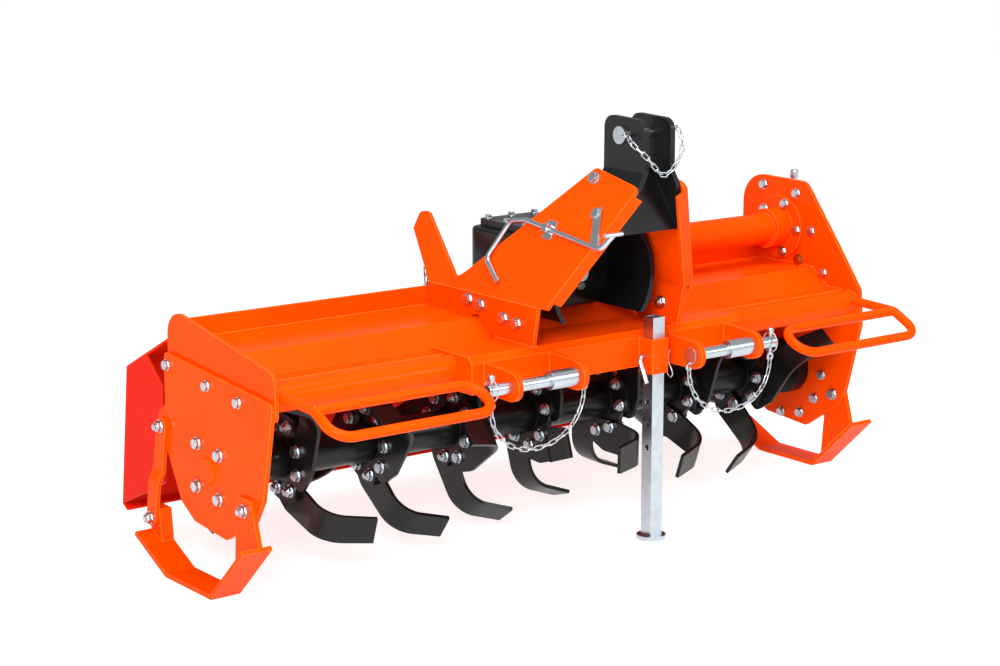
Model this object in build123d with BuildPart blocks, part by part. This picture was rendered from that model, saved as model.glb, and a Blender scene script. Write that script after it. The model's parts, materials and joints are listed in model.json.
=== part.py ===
"""Rotary tiller carried on a tractor's three-point hitch, parked on its two skids and its stand.

X runs to the gear-case side, -Y points to the tractor, Z is up and the floor is at zero.
Side outlines are points of (distance behind the rotor's axis, height above it).
"""
import os
from math import ceil, hypot, sqrt, tan, radians

from build123d import *

os.makedirs("parts", exist_ok=True)

# Driving dimensions
ROTOR_Y = 8.0
AXIS_Z = 210.0
TINE_RADIUS = 199.0
FLANGE_PITCH = 185.0
SKID_OUTSIDE = 762.0
SKID_WIDTH = 59.0
SKID_INSET = 17.0
SKID_EDGE = 1.0
PLATE = 8.0
LINER = 6.0
SHEET = 4.0
HITCH_PIN_RADIUS = 11.0
TOP_PIN_Y = -300.0
TOP_PIN_Z = 569.0
TOP_PIN_RADIUS = 9.5
PTO_RADIUS = 17.45
DRIVE_Y = 32.0
LEG = 28.0
RUNNING_GAP = 0.05

# Values that follow from them
left_face = SKID_WIDTH - SKID_OUTSIDE - SKID_INSET
right_face = SKID_OUTSIDE - SKID_WIDTH - SKID_EDGE
left_inner = left_face + PLATE
hood_left = left_inner + LINER
hood_right = right_face - PLATE
hood_length = hood_right - hood_left
floor = -AXIS_Z


def side(x):
    """Plane across the machine at x: its first direction runs to the rear and its second up."""
    return Plane(origin=(x, ROTOR_Y, AXIS_Z), x_dir=(0, 1, 0), z_dir=(1, 0, 0))


def front(y):
    """Plane along the machine at y, facing the tractor: its directions are X and up."""
    return Plane(origin=(0, ROTOR_Y + y, AXIS_Z), x_dir=(1, 0, 0), z_dir=(0, -1, 0))


def level(z):
    """Plane at height z above the rotor's axis, its origin over that axis."""
    return Plane(origin=(0, ROTOR_Y, AXIS_Z + z))


def place(x, y, z):
    """A point given by x, distance behind the rotor's axis and height above it."""
    return Vector(x, ROTOR_Y + y, AXIS_Z + z)


def outline(points, radius=0.0):
    """Fill a closed outline inside the open sketch, its corners rounded by one radius or one each."""
    with BuildLine() as border:
        if radius:
            FilletPolyline(*points, radius=radius, close=True)
        else:
            Polyline(*points, close=True)
    make_face(border.edges())


def folded(points, thickness, radius=0.0):
    """Fill the section of a folded sheet inside the open sketch, to the right of its line."""
    with BuildLine() as section:
        if radius:
            FilletPolyline(*points, radius=radius)
        else:
            Polyline(*points)
        offset(amount=thickness, side=Side.RIGHT)
    make_face(section.edges())


def save(piece, name):
    """Label a finished piece and write it as its own file."""
    piece.label = name
    export_step(piece, f"parts/{name}.step")


# Hood: flat over the front tube, a slope, a shelf above the rotor and a rear upstand
HOOD_CLEAR = 19.0
HOOD_DROP = 35.0
UPSTAND_Y = 100.0
UPSTAND = 36.0
TUBE_BACK = 29.0
TUBE_DROP = 24.0
TUBE_RADIUS = 26.0

shelf_z = TINE_RADIUS + HOOD_CLEAR
flat_z = shelf_z - HOOD_DROP
upstand_z = shelf_z + UPSTAND
tube_y = TUBE_BACK - TINE_RADIUS
tube_z = flat_z - TUBE_DROP
hood_front = tube_y + 20
slope_foot = tube_y + 62
shelf_front = tube_y + 108

with BuildPart() as hood:
    with BuildSketch(side(hood_left)):
        folded(
            [
                (hood_front, flat_z),
                (slope_foot, flat_z),
                (shelf_front, shelf_z),
                (UPSTAND_Y, shelf_z),
                (UPSTAND_Y, upstand_z),
            ],
            SHEET,
        )
    extrude(amount=hood_length)
save(hood.part, "hood")

# Front tube across the machine
with BuildPart() as front_tube:
    with BuildSketch(side(hood_left)):
        with Locations((tube_y, tube_z)):
            Circle(TUBE_RADIUS)
            Circle(TUBE_RADIUS - SHEET, mode=Mode.SUBTRACT)
    extrude(amount=hood_length)
save(front_tube.part, "front_tube")

# Hitch beam: folded plate round the tube between and beyond the lower lugs
BEAM_HALF = 320.0
BEAM_REACH = 64.0
BEAM_BELOW = 37.0
BEAM_ABOVE = 30.0
BEAM_BEVEL = 11.0
BEAM_COVER = 58.0

beam_front = tube_y - BEAM_REACH
beam_bottom = tube_z - BEAM_BELOW
beam_top = tube_z + BEAM_ABOVE
beam_tail = tube_y + BEAM_COVER

with BuildPart() as hitch_beam:
    with BuildSketch(side(-BEAM_HALF)):
        outline(
            [
                (beam_front, beam_bottom),
                (beam_front, beam_top - BEAM_BEVEL),
                (beam_front + BEAM_BEVEL, beam_top),
                (beam_tail, beam_top),
                (beam_tail, flat_z),
                (hood_front, flat_z),
                (hood_front, flat_z - 2 * SHEET),
                (tube_y - TUBE_RADIUS, beam_bottom),
            ]
        )
        with Locations((tube_y, tube_z)):
            Circle(TUBE_RADIUS, mode=Mode.SUBTRACT)
    extrude(amount=2 * BEAM_HALF)
save(hitch_beam.part, "hitch_beam")

# Left side: hood plate inside, bolted end plate outside, bearing on the rotor's axis
SIDE_REAR = 150.0
EAR_REAR = 176.0
EAR_LOW = 30.0
EAR_TOP = 72.0
EAR_SLANT = 18.0
CORNER = 12.0
CREST_RADIUS = 45.0
BEARING_OUTER = 50.0
BEARING_LENGTH = 30.0
STUB_RADIUS = 17.5
BOSS_RADIUS = 28.0
BOSS_HEIGHT = 7.0

with BuildPart() as left_hood_plate:
    with BuildSketch(side(left_inner)):
        outline(
            [
                (SIDE_REAR - 1, tube_z - 29),
                (SIDE_REAR - 1, upstand_z + 17),
                (tube_y - 35, tube_z + 51),
                (tube_y - 44, tube_z + 23),
                (tube_y - 44, tube_z - 34),
            ],
            radius=[CORNER, CREST_RADIUS, CORNER, CORNER, CORNER],
        )
    extrude(amount=LINER)
save(left_hood_plate.part, "left_hood_plate")

ear = [
    (SIDE_REAR, EAR_LOW - EAR_SLANT),
    (EAR_REAR, EAR_LOW),
    (EAR_REAR, EAR_TOP),
    (SIDE_REAR, EAR_TOP + EAR_SLANT),
]

with BuildPart() as left_end_plate:
    with BuildSketch(side(left_face)):
        outline(
            [
                (SIDE_REAR, tube_z + 30),
                (tube_y - 47, tube_z + 1),
                (-180, -16),
                (-152, -60),
                (-56, -113),
                (55, -104),
                (100, -78),
                *ear,
            ],
            radius=CORNER,
        )
    extrude(amount=PLATE)
    with BuildSketch(side(left_face)):
        Circle(BOSS_RADIUS)
    extrude(amount=-BOSS_HEIGHT, taper=45)
save(left_end_plate.part, "left_end_plate")

with BuildPart() as left_bearing:
    with BuildSketch(side(left_inner)):
        Circle(BEARING_OUTER)
        Circle(STUB_RADIUS + RUNNING_GAP, mode=Mode.SUBTRACT)
    extrude(amount=BEARING_LENGTH)
save(left_bearing.part, "left_bearing")

# Right side: inner plate, gear case outside it, drive tube from the gearbox
PTO_RISE = 75.0
CASE_DEPTH = 50.0
CASE_ROUND = 10.0
CASE_TOP_RADIUS = 76.0
CASE_LOW_RADIUS = 112.0
HUB_OUTER = 58.0
HUB_RADIUS = 25.0
HUB_LENGTH = 28.0
DRIVE_RADIUS = 32.0
COLLAR_RADIUS = 41.0
COLLAR_LENGTH = 42.0
DRIVE_FLANGE_RADIUS = 66.0
DRIVE_FLANGE = 10.0
GEARBOX_HALF = 85.0

pto_z = shelf_z + PTO_RISE

with BuildPart() as right_side_plate:
    with BuildSketch(side(hood_right)):
        outline(
            [
                (SIDE_REAR, pto_z + 104),
                (-35, pto_z + 101),
                (-131, pto_z - 19),
                (tube_y - 26, tube_z + 31),
                (tube_y - 32, tube_z - 43),
                (-167, -22),
                (-149, -60),
                (-55, -123),
                (63, -113),
                (140, -60),
                *ear,
            ],
            radius=[60, 30, 40] + 11 * [CORNER],
        )
    extrude(amount=PLATE)
save(right_side_plate.part, "right_side_plate")

with BuildPart() as right_bearing:
    with BuildSketch(side(hood_right)):
        Circle(HUB_OUTER)
        Circle(HUB_RADIUS + RUNNING_GAP, mode=Mode.SUBTRACT)
    extrude(amount=-HUB_LENGTH)
save(right_bearing.part, "right_bearing")

with BuildPart() as gear_case:
    with BuildSketch(side(right_face)):
        with Locations((DRIVE_Y, pto_z)):
            Circle(CASE_TOP_RADIUS)
        Circle(CASE_LOW_RADIUS)
        make_hull()
    extrude(amount=CASE_DEPTH)
    fillet(gear_case.faces().sort_by(Axis.X)[-1].edges(), radius=CASE_ROUND)
save(gear_case.part, "gear_case")

with BuildPart() as drive_tube:
    with BuildSketch(side(GEARBOX_HALF)):
        with Locations((DRIVE_Y, pto_z)):
            Circle(DRIVE_RADIUS)
    extrude(amount=hood_right - GEARBOX_HALF)
    with BuildSketch(side(hood_right - DRIVE_FLANGE)):
        with Locations((DRIVE_Y, pto_z)):
            Circle(COLLAR_RADIUS)
    extrude(amount=-COLLAR_LENGTH)
    with BuildSketch(side(hood_right)):
        with Locations((DRIVE_Y, pto_z)):
            Circle(DRIVE_FLANGE_RADIUS)
    extrude(amount=-DRIVE_FLANGE)
save(drive_tube.part, "drive_tube")

# Breather screwed into the top of the gear case
BREATHER_BASE = 9.0
BREATHER_NECK = 6.0
BREATHER_STEP = 12.0
BREATHER_CAP = 17.0

with BuildPart() as breather:
    breather_plane = level(pto_z + CASE_TOP_RADIUS)
    with BuildSketch(breather_plane):
        with Locations((right_face + CASE_DEPTH / 2, DRIVE_Y)):
            RegularPolygon(BREATHER_BASE, 6)
    extrude(amount=BREATHER_STEP)
    with BuildSketch(breather_plane.offset(BREATHER_STEP)):
        with Locations((right_face + CASE_DEPTH / 2, DRIVE_Y)):
            Circle(BREATHER_NECK)
    extrude(amount=BREATHER_STEP)
    with BuildSketch(breather_plane.offset(2 * BREATHER_STEP)):
        with Locations((right_face + CASE_DEPTH / 2, DRIVE_Y)):
            Circle(BREATHER_BASE)
    extrude(amount=BREATHER_CAP)
    fillet(breather.faces().sort_by(Axis.Z)[-1].edges(), radius=BREATHER_BASE / 2)
save(breather.part, "breather")

# Gearbox on the shelf, with its cover, input shaft and guard
GEARBOX_FRONT = -80.0
GEARBOX_RISE = 69.0
GEARBOX_CORNER = 24.0
GEARBOX_EDGE = 8.0
FOOT_LIP = 18.0
FOOT_THICK = 12.0
COVER_HEIGHT = 14.0
COVER_INSET = 16.0
NOSE_RADIUS = 46.0
NOSE_LENGTH = 18.0
SHAFT_REACH = 52.0
SHAFT_BEVEL = 2.5
GUARD_RADIUS = 118.0
GUARD_DEPTH = 133.0
GUARD_LIP = 5.0
GUARD_LIFT = 2.0

gearbox_rear = UPSTAND_Y - SHEET
gearbox_depth = gearbox_rear - GEARBOX_FRONT
gearbox_mid = (gearbox_rear + GEARBOX_FRONT) / 2
gearbox_top = pto_z + GEARBOX_RISE
nose_end = GEARBOX_FRONT - NOSE_LENGTH
guard_foot = shelf_z + GUARD_LIFT

with BuildPart() as gearbox:
    with BuildSketch(level(shelf_z)):
        with Locations((0, gearbox_mid)):
            RectangleRounded(2 * GEARBOX_HALF, gearbox_depth, GEARBOX_CORNER)
    extrude(amount=gearbox_top - shelf_z)
    fillet(gearbox.faces().sort_by(Axis.Z)[-1].edges(), radius=GEARBOX_EDGE)
    with BuildSketch(level(shelf_z)):
        with Locations((0, gearbox_mid)):
            RectangleRounded(2 * (GEARBOX_HALF + FOOT_LIP), gearbox_depth, GEARBOX_CORNER)
    extrude(amount=FOOT_THICK)
    with BuildSketch(front(GEARBOX_FRONT)):
        with Locations((0, pto_z)):
            Circle(NOSE_RADIUS)
    extrude(amount=NOSE_LENGTH)
save(gearbox.part, "gearbox")

with BuildPart() as gearbox_cover:
    with BuildSketch(level(gearbox_top)):
        with Locations((0, gearbox_mid)):
            RectangleRounded(
                2 * (GEARBOX_HALF - COVER_INSET),
                gearbox_depth - 2 * COVER_INSET,
                GEARBOX_CORNER - COVER_INSET,
            )
    extrude(amount=COVER_HEIGHT)
save(gearbox_cover.part, "gearbox_cover")

with BuildPart() as pto_shaft:
    with BuildSketch(front(nose_end)):
        with Locations((0, pto_z)):
            Circle(PTO_RADIUS)
    extrude(amount=SHAFT_REACH)
    chamfer(pto_shaft.faces().sort_by(Axis.Y)[0].edges(), length=SHAFT_BEVEL)
save(pto_shaft.part, "pto_shaft")


def guard_ring(inner, outer):
    """Fill a ring round the input shaft inside the open sketch, cut off level above the shelf."""
    with Locations((0, pto_z)):
        Circle(outer)
        Circle(inner, mode=Mode.SUBTRACT)
    with Locations((0, guard_foot - outer)):
        Rectangle(2 * outer, 2 * outer, mode=Mode.SUBTRACT)


with BuildPart() as pto_guard:
    with BuildSketch(front(GEARBOX_FRONT)):
        guard_ring(NOSE_RADIUS, GUARD_RADIUS)
    extrude(amount=SHEET)
    with BuildSketch(front(GEARBOX_FRONT)):
        guard_ring(GUARD_RADIUS - SHEET, GUARD_RADIUS)
    extrude(amount=GUARD_DEPTH)
    with BuildSketch(front(GEARBOX_FRONT - GUARD_DEPTH + GUARD_LIP)):
        guard_ring(GUARD_RADIUS - SHEET, GUARD_RADIUS + GUARD_LIP)
    extrude(amount=GUARD_LIP)
save(pto_guard.part, "pto_guard")

# Headstock: two plates that stand on the beam and lean together to the top-link clevis
FOOT_X = 178.0
BEND_RISE = 42.0
CLEVIS_GAP = 52.0
CLEVIS_PLATE = 10.0
CLEVIS_DROP = 62.7
HEAD_DROP = 67.0
HEAD_SLOPE = 22.0
HEAD_REAR = 58.0
HEAD_FRONT = 72.0
HEAD_FLANGE = 17.0
HEAD_ROUND = 14.0
POST_Y = 209.0
POST_RISE = 114.0
DRIVE_CLEAR = 4.0

bend_z = shelf_z + BEND_RISE
clevis_half = CLEVIS_GAP / 2 + CLEVIS_PLATE
clevis_bend = TOP_PIN_Z - CLEVIS_DROP
lean = (FOOT_X - PLATE - clevis_half) / (clevis_bend - bend_z)
stretch = sqrt(1 + lean * lean)
head_rear = (TOP_PIN_Y + HEAD_REAR, TOP_PIN_Z - HEAD_DROP)
head_front = (TOP_PIN_Y - HEAD_FRONT, TOP_PIN_Z - HEAD_DROP - HEAD_SLOPE)
toe = (beam_front - 28, bend_z)


def leaning(points):
    """Points given by depth and height, measured along the leaning plate from its bend."""
    return [(y, (z - bend_z) * stretch) for y, z in points]


def lean_plane(sign):
    """Plane of the inner face of one leaning plate, its origin at the bend."""
    return Plane(
        origin=place(sign * (FOOT_X - PLATE), 0, bend_z),
        x_dir=(0, 1, 0),
        z_dir=(1 / stretch, 0, sign * lean / stretch),
    )


def lean_inner(z):
    """Distance of the leaning plates' inner faces from the middle at height z."""
    return FOOT_X - PLATE - (z - bend_z) * lean


def head_edge(z, behind):
    """Point at height z, the given distance behind the leaning plates' front edge."""
    share = (z - toe[1]) / (head_front[1] - toe[1])
    return (toe[0] + share * (head_front[0] - toe[0]) + behind, z)


def headstock(sign, foot, upper, radii):
    """One headstock plate: an upright foot, and above its bend the leaning plate with a front flange."""
    with BuildPart() as stock:
        with BuildSketch(side(sign * FOOT_X)):
            outline(foot)
        extrude(amount=-sign * PLATE)
        with BuildSketch(lean_plane(sign)):
            outline(leaning(upper), radii)
        extrude(amount=sign * PLATE)
        flange_foot = bend_z + HEAD_ROUND
        flange_top = head_front[1] - HEAD_ROUND
        with BuildSketch(lean_plane(sign)):
            outline(
                leaning(
                    [
                        head_edge(flange_foot, 0),
                        head_edge(flange_top, 0),
                        head_edge(flange_top, PLATE),
                        head_edge(flange_foot, PLATE),
                    ]
                )
            )
        extrude(amount=-sign * HEAD_FLANGE)
        with BuildSketch(side(0)):
            with Locations((DRIVE_Y, pto_z)):
                Circle(DRIVE_RADIUS + DRIVE_CLEAR)
        extrude(amount=2 * FOOT_X, mode=Mode.SUBTRACT)
    return stock.part


foot_points = [
    (beam_front + 8, beam_top),
    (beam_tail, beam_top),
    (shelf_front, shelf_z + 6),
    (shelf_front + 30, shelf_z),
    (UPSTAND_Y - SHEET, shelf_z),
    (UPSTAND_Y - SHEET, bend_z + 3),
    (beam_front - 6, bend_z + 3),
]
heel = (UPSTAND_Y - SHEET, bend_z)
post = [
    (POST_Y, bend_z + POST_RISE - 31),
    (POST_Y, bend_z + POST_RISE),
    (POST_Y - 25, bend_z + POST_RISE + 4),
]
crook = [(18, bend_z + 16), (-8, bend_z + 36)]
left_radii = [2, 2, 6, 8, 10, 20, 20, HEAD_ROUND, HEAD_ROUND]
right_radii = [2, 2, 20, 20, HEAD_ROUND, HEAD_ROUND]

left_stock = headstock(-1, foot_points, [toe, heel, *post, *crook, head_rear, head_front], left_radii)
right_stock = headstock(1, foot_points, [toe, heel, *crook, head_rear, head_front], right_radii)
save(right_stock, "right_headstock")

# Eyes for the chains: small discs with a hole, welded where a chain is hung
EYE_RADIUS = 8.0
EYE_HOLE = 4.2
EYE_THICK = 3.0
EYE_STEP = 0.5
EYE_PLAY = 0.8
CHAIN_X = -105.0
CHAIN_Y = 205.0

eye_seat = EYE_HOLE - EYE_PLAY


def eye(centre, across):
    """Add one eye to the open part, its hole along the given direction."""
    with BuildSketch(Plane(origin=centre, z_dir=across)) as disc:
        Circle(EYE_RADIUS)
    extrude(disc.sketch, amount=EYE_THICK / 2, both=True)
    with BuildSketch(Plane(origin=centre, z_dir=across)) as hole:
        Circle(EYE_HOLE)
    extrude(hole.sketch, amount=EYE_THICK, both=True, mode=Mode.SUBTRACT)


post_eye = place(CHAIN_X, CHAIN_Y, bend_z + POST_RISE - 6)
with BuildPart() as left_headstock:
    add(left_stock)
    eye(post_eye, (0, 1, 0))
save(left_headstock.part, "left_headstock")

# Top-link clevis: two plates bent to lie against the leaning plates, a web between them, and the pin
CLEVIS_HEIGHT = 179.0
CLEVIS_ROUND = 22.0
WEB_DROP = 73.0
WEB_FRONT = 12.0
WEB_THICK = 10.0
PIN_HEAD = 7.0
PIN_HEAD_RADIUS = 16.0
PIN_END = 26.0
LINCH_RADIUS = 3.5
LINCH_DROP = 24.0
LINCH_RISE = 16.0
LINCH_HEAD = 12.0
LINCH_EDGE = 10.0

clevis_foot = TOP_PIN_Z - CLEVIS_HEIGHT
web_top = TOP_PIN_Z - WEB_DROP
clevis_top = TOP_PIN_Z + 34

with BuildPart() as top_link_clevis:
    for sign in (-1, 1):
        with BuildSketch(front(TOP_PIN_Y + HEAD_REAR)):
            outline(
                [
                    (sign * lean_inner(clevis_foot), clevis_foot),
                    (sign * clevis_half, clevis_bend),
                    (sign * clevis_half, clevis_top),
                    (sign * CLEVIS_GAP / 2, clevis_top),
                    (sign * CLEVIS_GAP / 2, clevis_bend),
                    (sign * (lean_inner(clevis_foot) - CLEVIS_PLATE * stretch), clevis_foot),
                ]
            )
        extrude(amount=HEAD_REAR + HEAD_FRONT)
    with BuildSketch(front(TOP_PIN_Y - WEB_FRONT + WEB_THICK)):
        outline(
            [
                (-lean_inner(clevis_foot) + CLEVIS_PLATE, clevis_foot),
                (lean_inner(clevis_foot) - CLEVIS_PLATE, clevis_foot),
                (lean_inner(web_top) - CLEVIS_PLATE, web_top),
                (-lean_inner(web_top) + CLEVIS_PLATE, web_top),
            ]
        )
    extrude(amount=WEB_THICK)
    with BuildSketch(side(-FOOT_X)):
        outline(
            [
                (TOP_PIN_Y + 50, clevis_foot),
                (TOP_PIN_Y + 48, clevis_top),
                (TOP_PIN_Y - 61, clevis_top - 4),
                head_edge(head_front[1], PLATE + 2),
                head_edge(clevis_foot, PLATE + 2),
            ],
            radius=[PLATE, CLEVIS_ROUND, CLEVIS_ROUND, PLATE, PLATE],
        )
    extrude(amount=2 * FOOT_X, mode=Mode.INTERSECT)
    with BuildSketch(side(-clevis_half)):
        with Locations((TOP_PIN_Y, TOP_PIN_Z)):
            Circle(TOP_PIN_RADIUS)
    extrude(amount=2 * clevis_half, mode=Mode.SUBTRACT)
save(top_link_clevis.part, "top_link_clevis")


def linch_hole(x, y, z):
    """Drill the open part upright for a linch pin."""
    with BuildSketch(Plane(origin=place(x, y, z))) as hole:
        Circle(LINCH_RADIUS + RUNNING_GAP)
    extrude(hole.sketch, amount=2 * HITCH_PIN_RADIUS, both=True, mode=Mode.SUBTRACT)


def linch_pin(name, x, y, z, eye_offset, across):
    """Linch pin with a round head above the pin that it locks, and an eye for its chain."""
    eye_centre = place(x, y, z) + Vector(eye_offset)
    with BuildPart() as linch:
        with BuildSketch(Plane(origin=place(x, y, z - LINCH_DROP))):
            Circle(LINCH_RADIUS)
        extrude(amount=LINCH_DROP + LINCH_RISE)
        with BuildSketch(Plane(origin=place(x, y, z + LINCH_RISE))):
            Circle(2 * LINCH_RADIUS)
        extrude(amount=LINCH_HEAD)
        fillet(linch.faces().sort_by(Axis.Z)[-1].edges(), radius=LINCH_RADIUS)
        eye(eye_centre, across)
    save(linch.part, name)
    return eye_centre


top_head_eye = place(
    -clevis_half - EYE_RADIUS - EYE_STEP, TOP_PIN_Y - PIN_HEAD_RADIUS - EYE_HOLE, TOP_PIN_Z
)
top_linch_x = clevis_half + PIN_END - LINCH_EDGE

with BuildPart() as top_link_pin:
    with BuildSketch(side(-clevis_half)):
        with Locations((TOP_PIN_Y, TOP_PIN_Z)):
            Circle(TOP_PIN_RADIUS)
    extrude(amount=2 * clevis_half + PIN_END)
    with BuildSketch(side(-clevis_half)):
        with Locations((TOP_PIN_Y, TOP_PIN_Z)):
            Circle(PIN_HEAD_RADIUS)
    extrude(amount=-PIN_HEAD)
    linch_hole(top_linch_x, TOP_PIN_Y, TOP_PIN_Z)
    eye(top_head_eye, (0, 0, 1))
save(top_link_pin.part, "top_link_pin")
top_eye_offset = (0, -2 * LINCH_RADIUS - EYE_HOLE, LINCH_RISE + LINCH_HEAD / 2)
top_linch_eye = linch_pin("top_linch_pin", top_linch_x, TOP_PIN_Y, TOP_PIN_Z, top_eye_offset, (0, 0, 1))

# Chains: flat-sided links that hook into each other, every second one turned on edge
LINK_PITCH = 13.0
TOP_LINK_PITCH = 10.0
LINK_WIRE = 2.6
LINK_SLACK = 1.7
LINK_PLAY = 2.6
CURVE_STEPS = 400


def bevelled(length, width):
    """Corners of a long ring with cut-off ends."""
    cut = width / 3
    right = [(length / 2 - cut, width / 2), (length / 2, width / 2 - cut)]
    right += [(length / 2, cut - width / 2), (length / 2 - cut, -width / 2)]
    return right + [(-x, -y) for x, y in right]


def chain(name, bend, first, last, pitch=LINK_PITCH):
    """Chain along a smooth curve.

    The curve is walked in small steps, and an odd number of links is set at equal lengths along it.
    The first link lies in the plane of the curve and the direction first, the last one in that of
    the curve and the direction last, and every second link is square to its neighbours.
    """
    walk = [bend @ (step / CURVE_STEPS) for step in range(CURVE_STEPS + 1)]
    reach = [0.0]
    for start, end in zip(walk, walk[1:]):
        reach.append(reach[-1] + (end - start).length)
    count = 2 * ceil((reach[-1] / pitch - 1) / 2) + 1
    inner = reach[-1] / count + LINK_SLACK
    width = LINK_WIRE + LINK_PLAY
    links = []
    for link in range(count):
        middle = (link + 0.5) * reach[-1] / count
        step = next(index for index, length in enumerate(reach) if length >= middle)
        share = step / CURVE_STEPS
        along = bend % share
        flat = Vector(first) * (1 - share) + Vector(last) * share
        if link % 2:
            flat = along.cross(flat)
        with BuildPart() as ring:
            with BuildSketch(Plane(origin=walk[step], x_dir=along, z_dir=flat.cross(along))):
                Polygon(*bevelled(inner + 2 * LINK_WIRE, width + 2 * LINK_WIRE), align=None)
                Polygon(*bevelled(inner, width), align=None, mode=Mode.SUBTRACT)
            extrude(amount=LINK_WIRE / 2, both=True)
        links.append(ring.part)
    with BuildPart() as whole:
        add(links)
    save(whole.part, name)


# Lower hitch: two lugs and a pin with its bush on each side
LUG_INNER = 140.0
LUG_INSET = 32.0
LUG_PLATE = 10.0
LUG_RADIUS = 26.0
LUG_REACH = 75.0
LUG_DROP = 12.0
PIN_BEYOND = 56.0
BUSH_RADIUS = 17.0
BUSH_LENGTH = 62.0
CHAIN_SAG = 125.0

hitch_pin_y = beam_front - LUG_REACH
hitch_pin_z = tube_z - LUG_DROP
lug_outer = BEAM_HALF - LUG_INSET
pin_start = LUG_INNER - LUG_PLATE / 2
pin_tip = lug_outer + PIN_BEYOND
weld_height = beam_top - BEAM_BEVEL - beam_bottom

for name, sign in (("left", -1), ("right", 1)):
    bush_start = lug_outer - LUG_PLATE / 2 - BUSH_LENGTH if sign > 0 else pin_start + LUG_PLATE
    with BuildPart() as lugs:
        for x in (pin_start, lug_outer - LUG_PLATE / 2):
            with BuildSketch(side(sign * x)):
                with Locations((hitch_pin_y, hitch_pin_z)):
                    Circle(LUG_RADIUS)
                with Locations((beam_front - SHEET / 2, beam_bottom + weld_height / 2)):
                    Rectangle(SHEET, weld_height)
                make_hull()
                with Locations((hitch_pin_y, hitch_pin_z)):
                    Circle(HITCH_PIN_RADIUS, mode=Mode.SUBTRACT)
            extrude(amount=sign * LUG_PLATE)
    save(lugs.part, f"{name}_hitch_lugs")
    head_eye = place(
        sign * (pin_start - EYE_RADIUS - EYE_STEP), hitch_pin_y, hitch_pin_z - PIN_HEAD_RADIUS - EYE_HOLE
    )
    linch_x = sign * (pin_tip - LINCH_EDGE)
    with BuildPart() as hitch_pin:
        with BuildSketch(side(sign * pin_start)):
            with Locations((hitch_pin_y, hitch_pin_z)):
                Circle(HITCH_PIN_RADIUS)
        extrude(amount=sign * (pin_tip - pin_start))
        with BuildSketch(side(sign * pin_start)):
            with Locations((hitch_pin_y, hitch_pin_z)):
                Circle(PIN_HEAD_RADIUS)
        extrude(amount=-sign * PIN_HEAD)
        with BuildSketch(side(sign * bush_start)):
            with Locations((hitch_pin_y, hitch_pin_z)):
                Circle(BUSH_RADIUS)
        extrude(amount=sign * BUSH_LENGTH)
        linch_hole(linch_x, hitch_pin_y, hitch_pin_z)
        eye(head_eye, (0, 1, 0))
    save(hitch_pin.part, f"{name}_hitch_pin")
    linch_eye = linch_pin(
        f"{name}_linch_pin", linch_x, hitch_pin_y, hitch_pin_z, (0, 0, -LINCH_DROP - EYE_HOLE), (0, 1, 0)
    )
    drop = Vector(0, 0, eye_seat)
    sag = Vector(0, 0, CHAIN_SAG)
    slack = Bezier(head_eye - drop, head_eye - sag, linch_eye - sag, linch_eye - drop)
    chain(f"{name}_pin_chain", slack, (0, 1, 0), (0, 1, 0))

top_slack = Spline(
    top_head_eye - Vector(0, eye_seat, 0),
    place(-clevis_half - 17, TOP_PIN_Y - 46, TOP_PIN_Z - 9),
    place(-clevis_half - 3, TOP_PIN_Y - 69, TOP_PIN_Z - 32),
    place(0, TOP_PIN_Y - 74, TOP_PIN_Z - 66),
    place(clevis_half + 9, TOP_PIN_Y - 69, TOP_PIN_Z - 30),
    place(top_linch_x + 8, TOP_PIN_Y - 44, TOP_PIN_Z + 6),
    top_linch_eye - Vector(0, eye_seat, 0),
    tangents=[(0, -1, 0), (0, 1, 0)],
)
chain("top_pin_chain", top_slack, (0, 0, 1), (0, 0, 1), TOP_LINK_PITCH)

# Skids: a folded strip under each end plate, a front tab and a rear lug for the joggled strap
SKID_FRONT_Y = -180.0
SKID_REAR_Y = 204.0
SKID_FRONT_RISE = 108.0
SKID_REAR_RISE = 52.0
SKID_FLAT_FRONT = -68.0
SKID_FLAT_REAR = 92.0
SKID_BOLT = (-131.0, -41.0)
STRAP_TOP = (156.0, 51.0)
STRAP_LOW_Y = 188.0
STRAP_LOW_RISE = 84.0
STRAP_WIDTH = 32.0
STRAP_KNEE = 70.0

skid_front = (SKID_FRONT_Y, floor + SKID_FRONT_RISE)
skid_rear = (SKID_REAR_Y, floor + SKID_REAR_RISE)
strap_low = (STRAP_LOW_Y, floor + STRAP_LOW_RISE)
strap_run = hypot(STRAP_TOP[0] - strap_low[0], STRAP_TOP[1] - strap_low[1])
strap_axis = Vector(0, STRAP_TOP[0] - strap_low[0], STRAP_TOP[1] - strap_low[1])
strip_starts = {"left": left_face + SKID_INSET, "right": right_face + SKID_EDGE}

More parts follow.
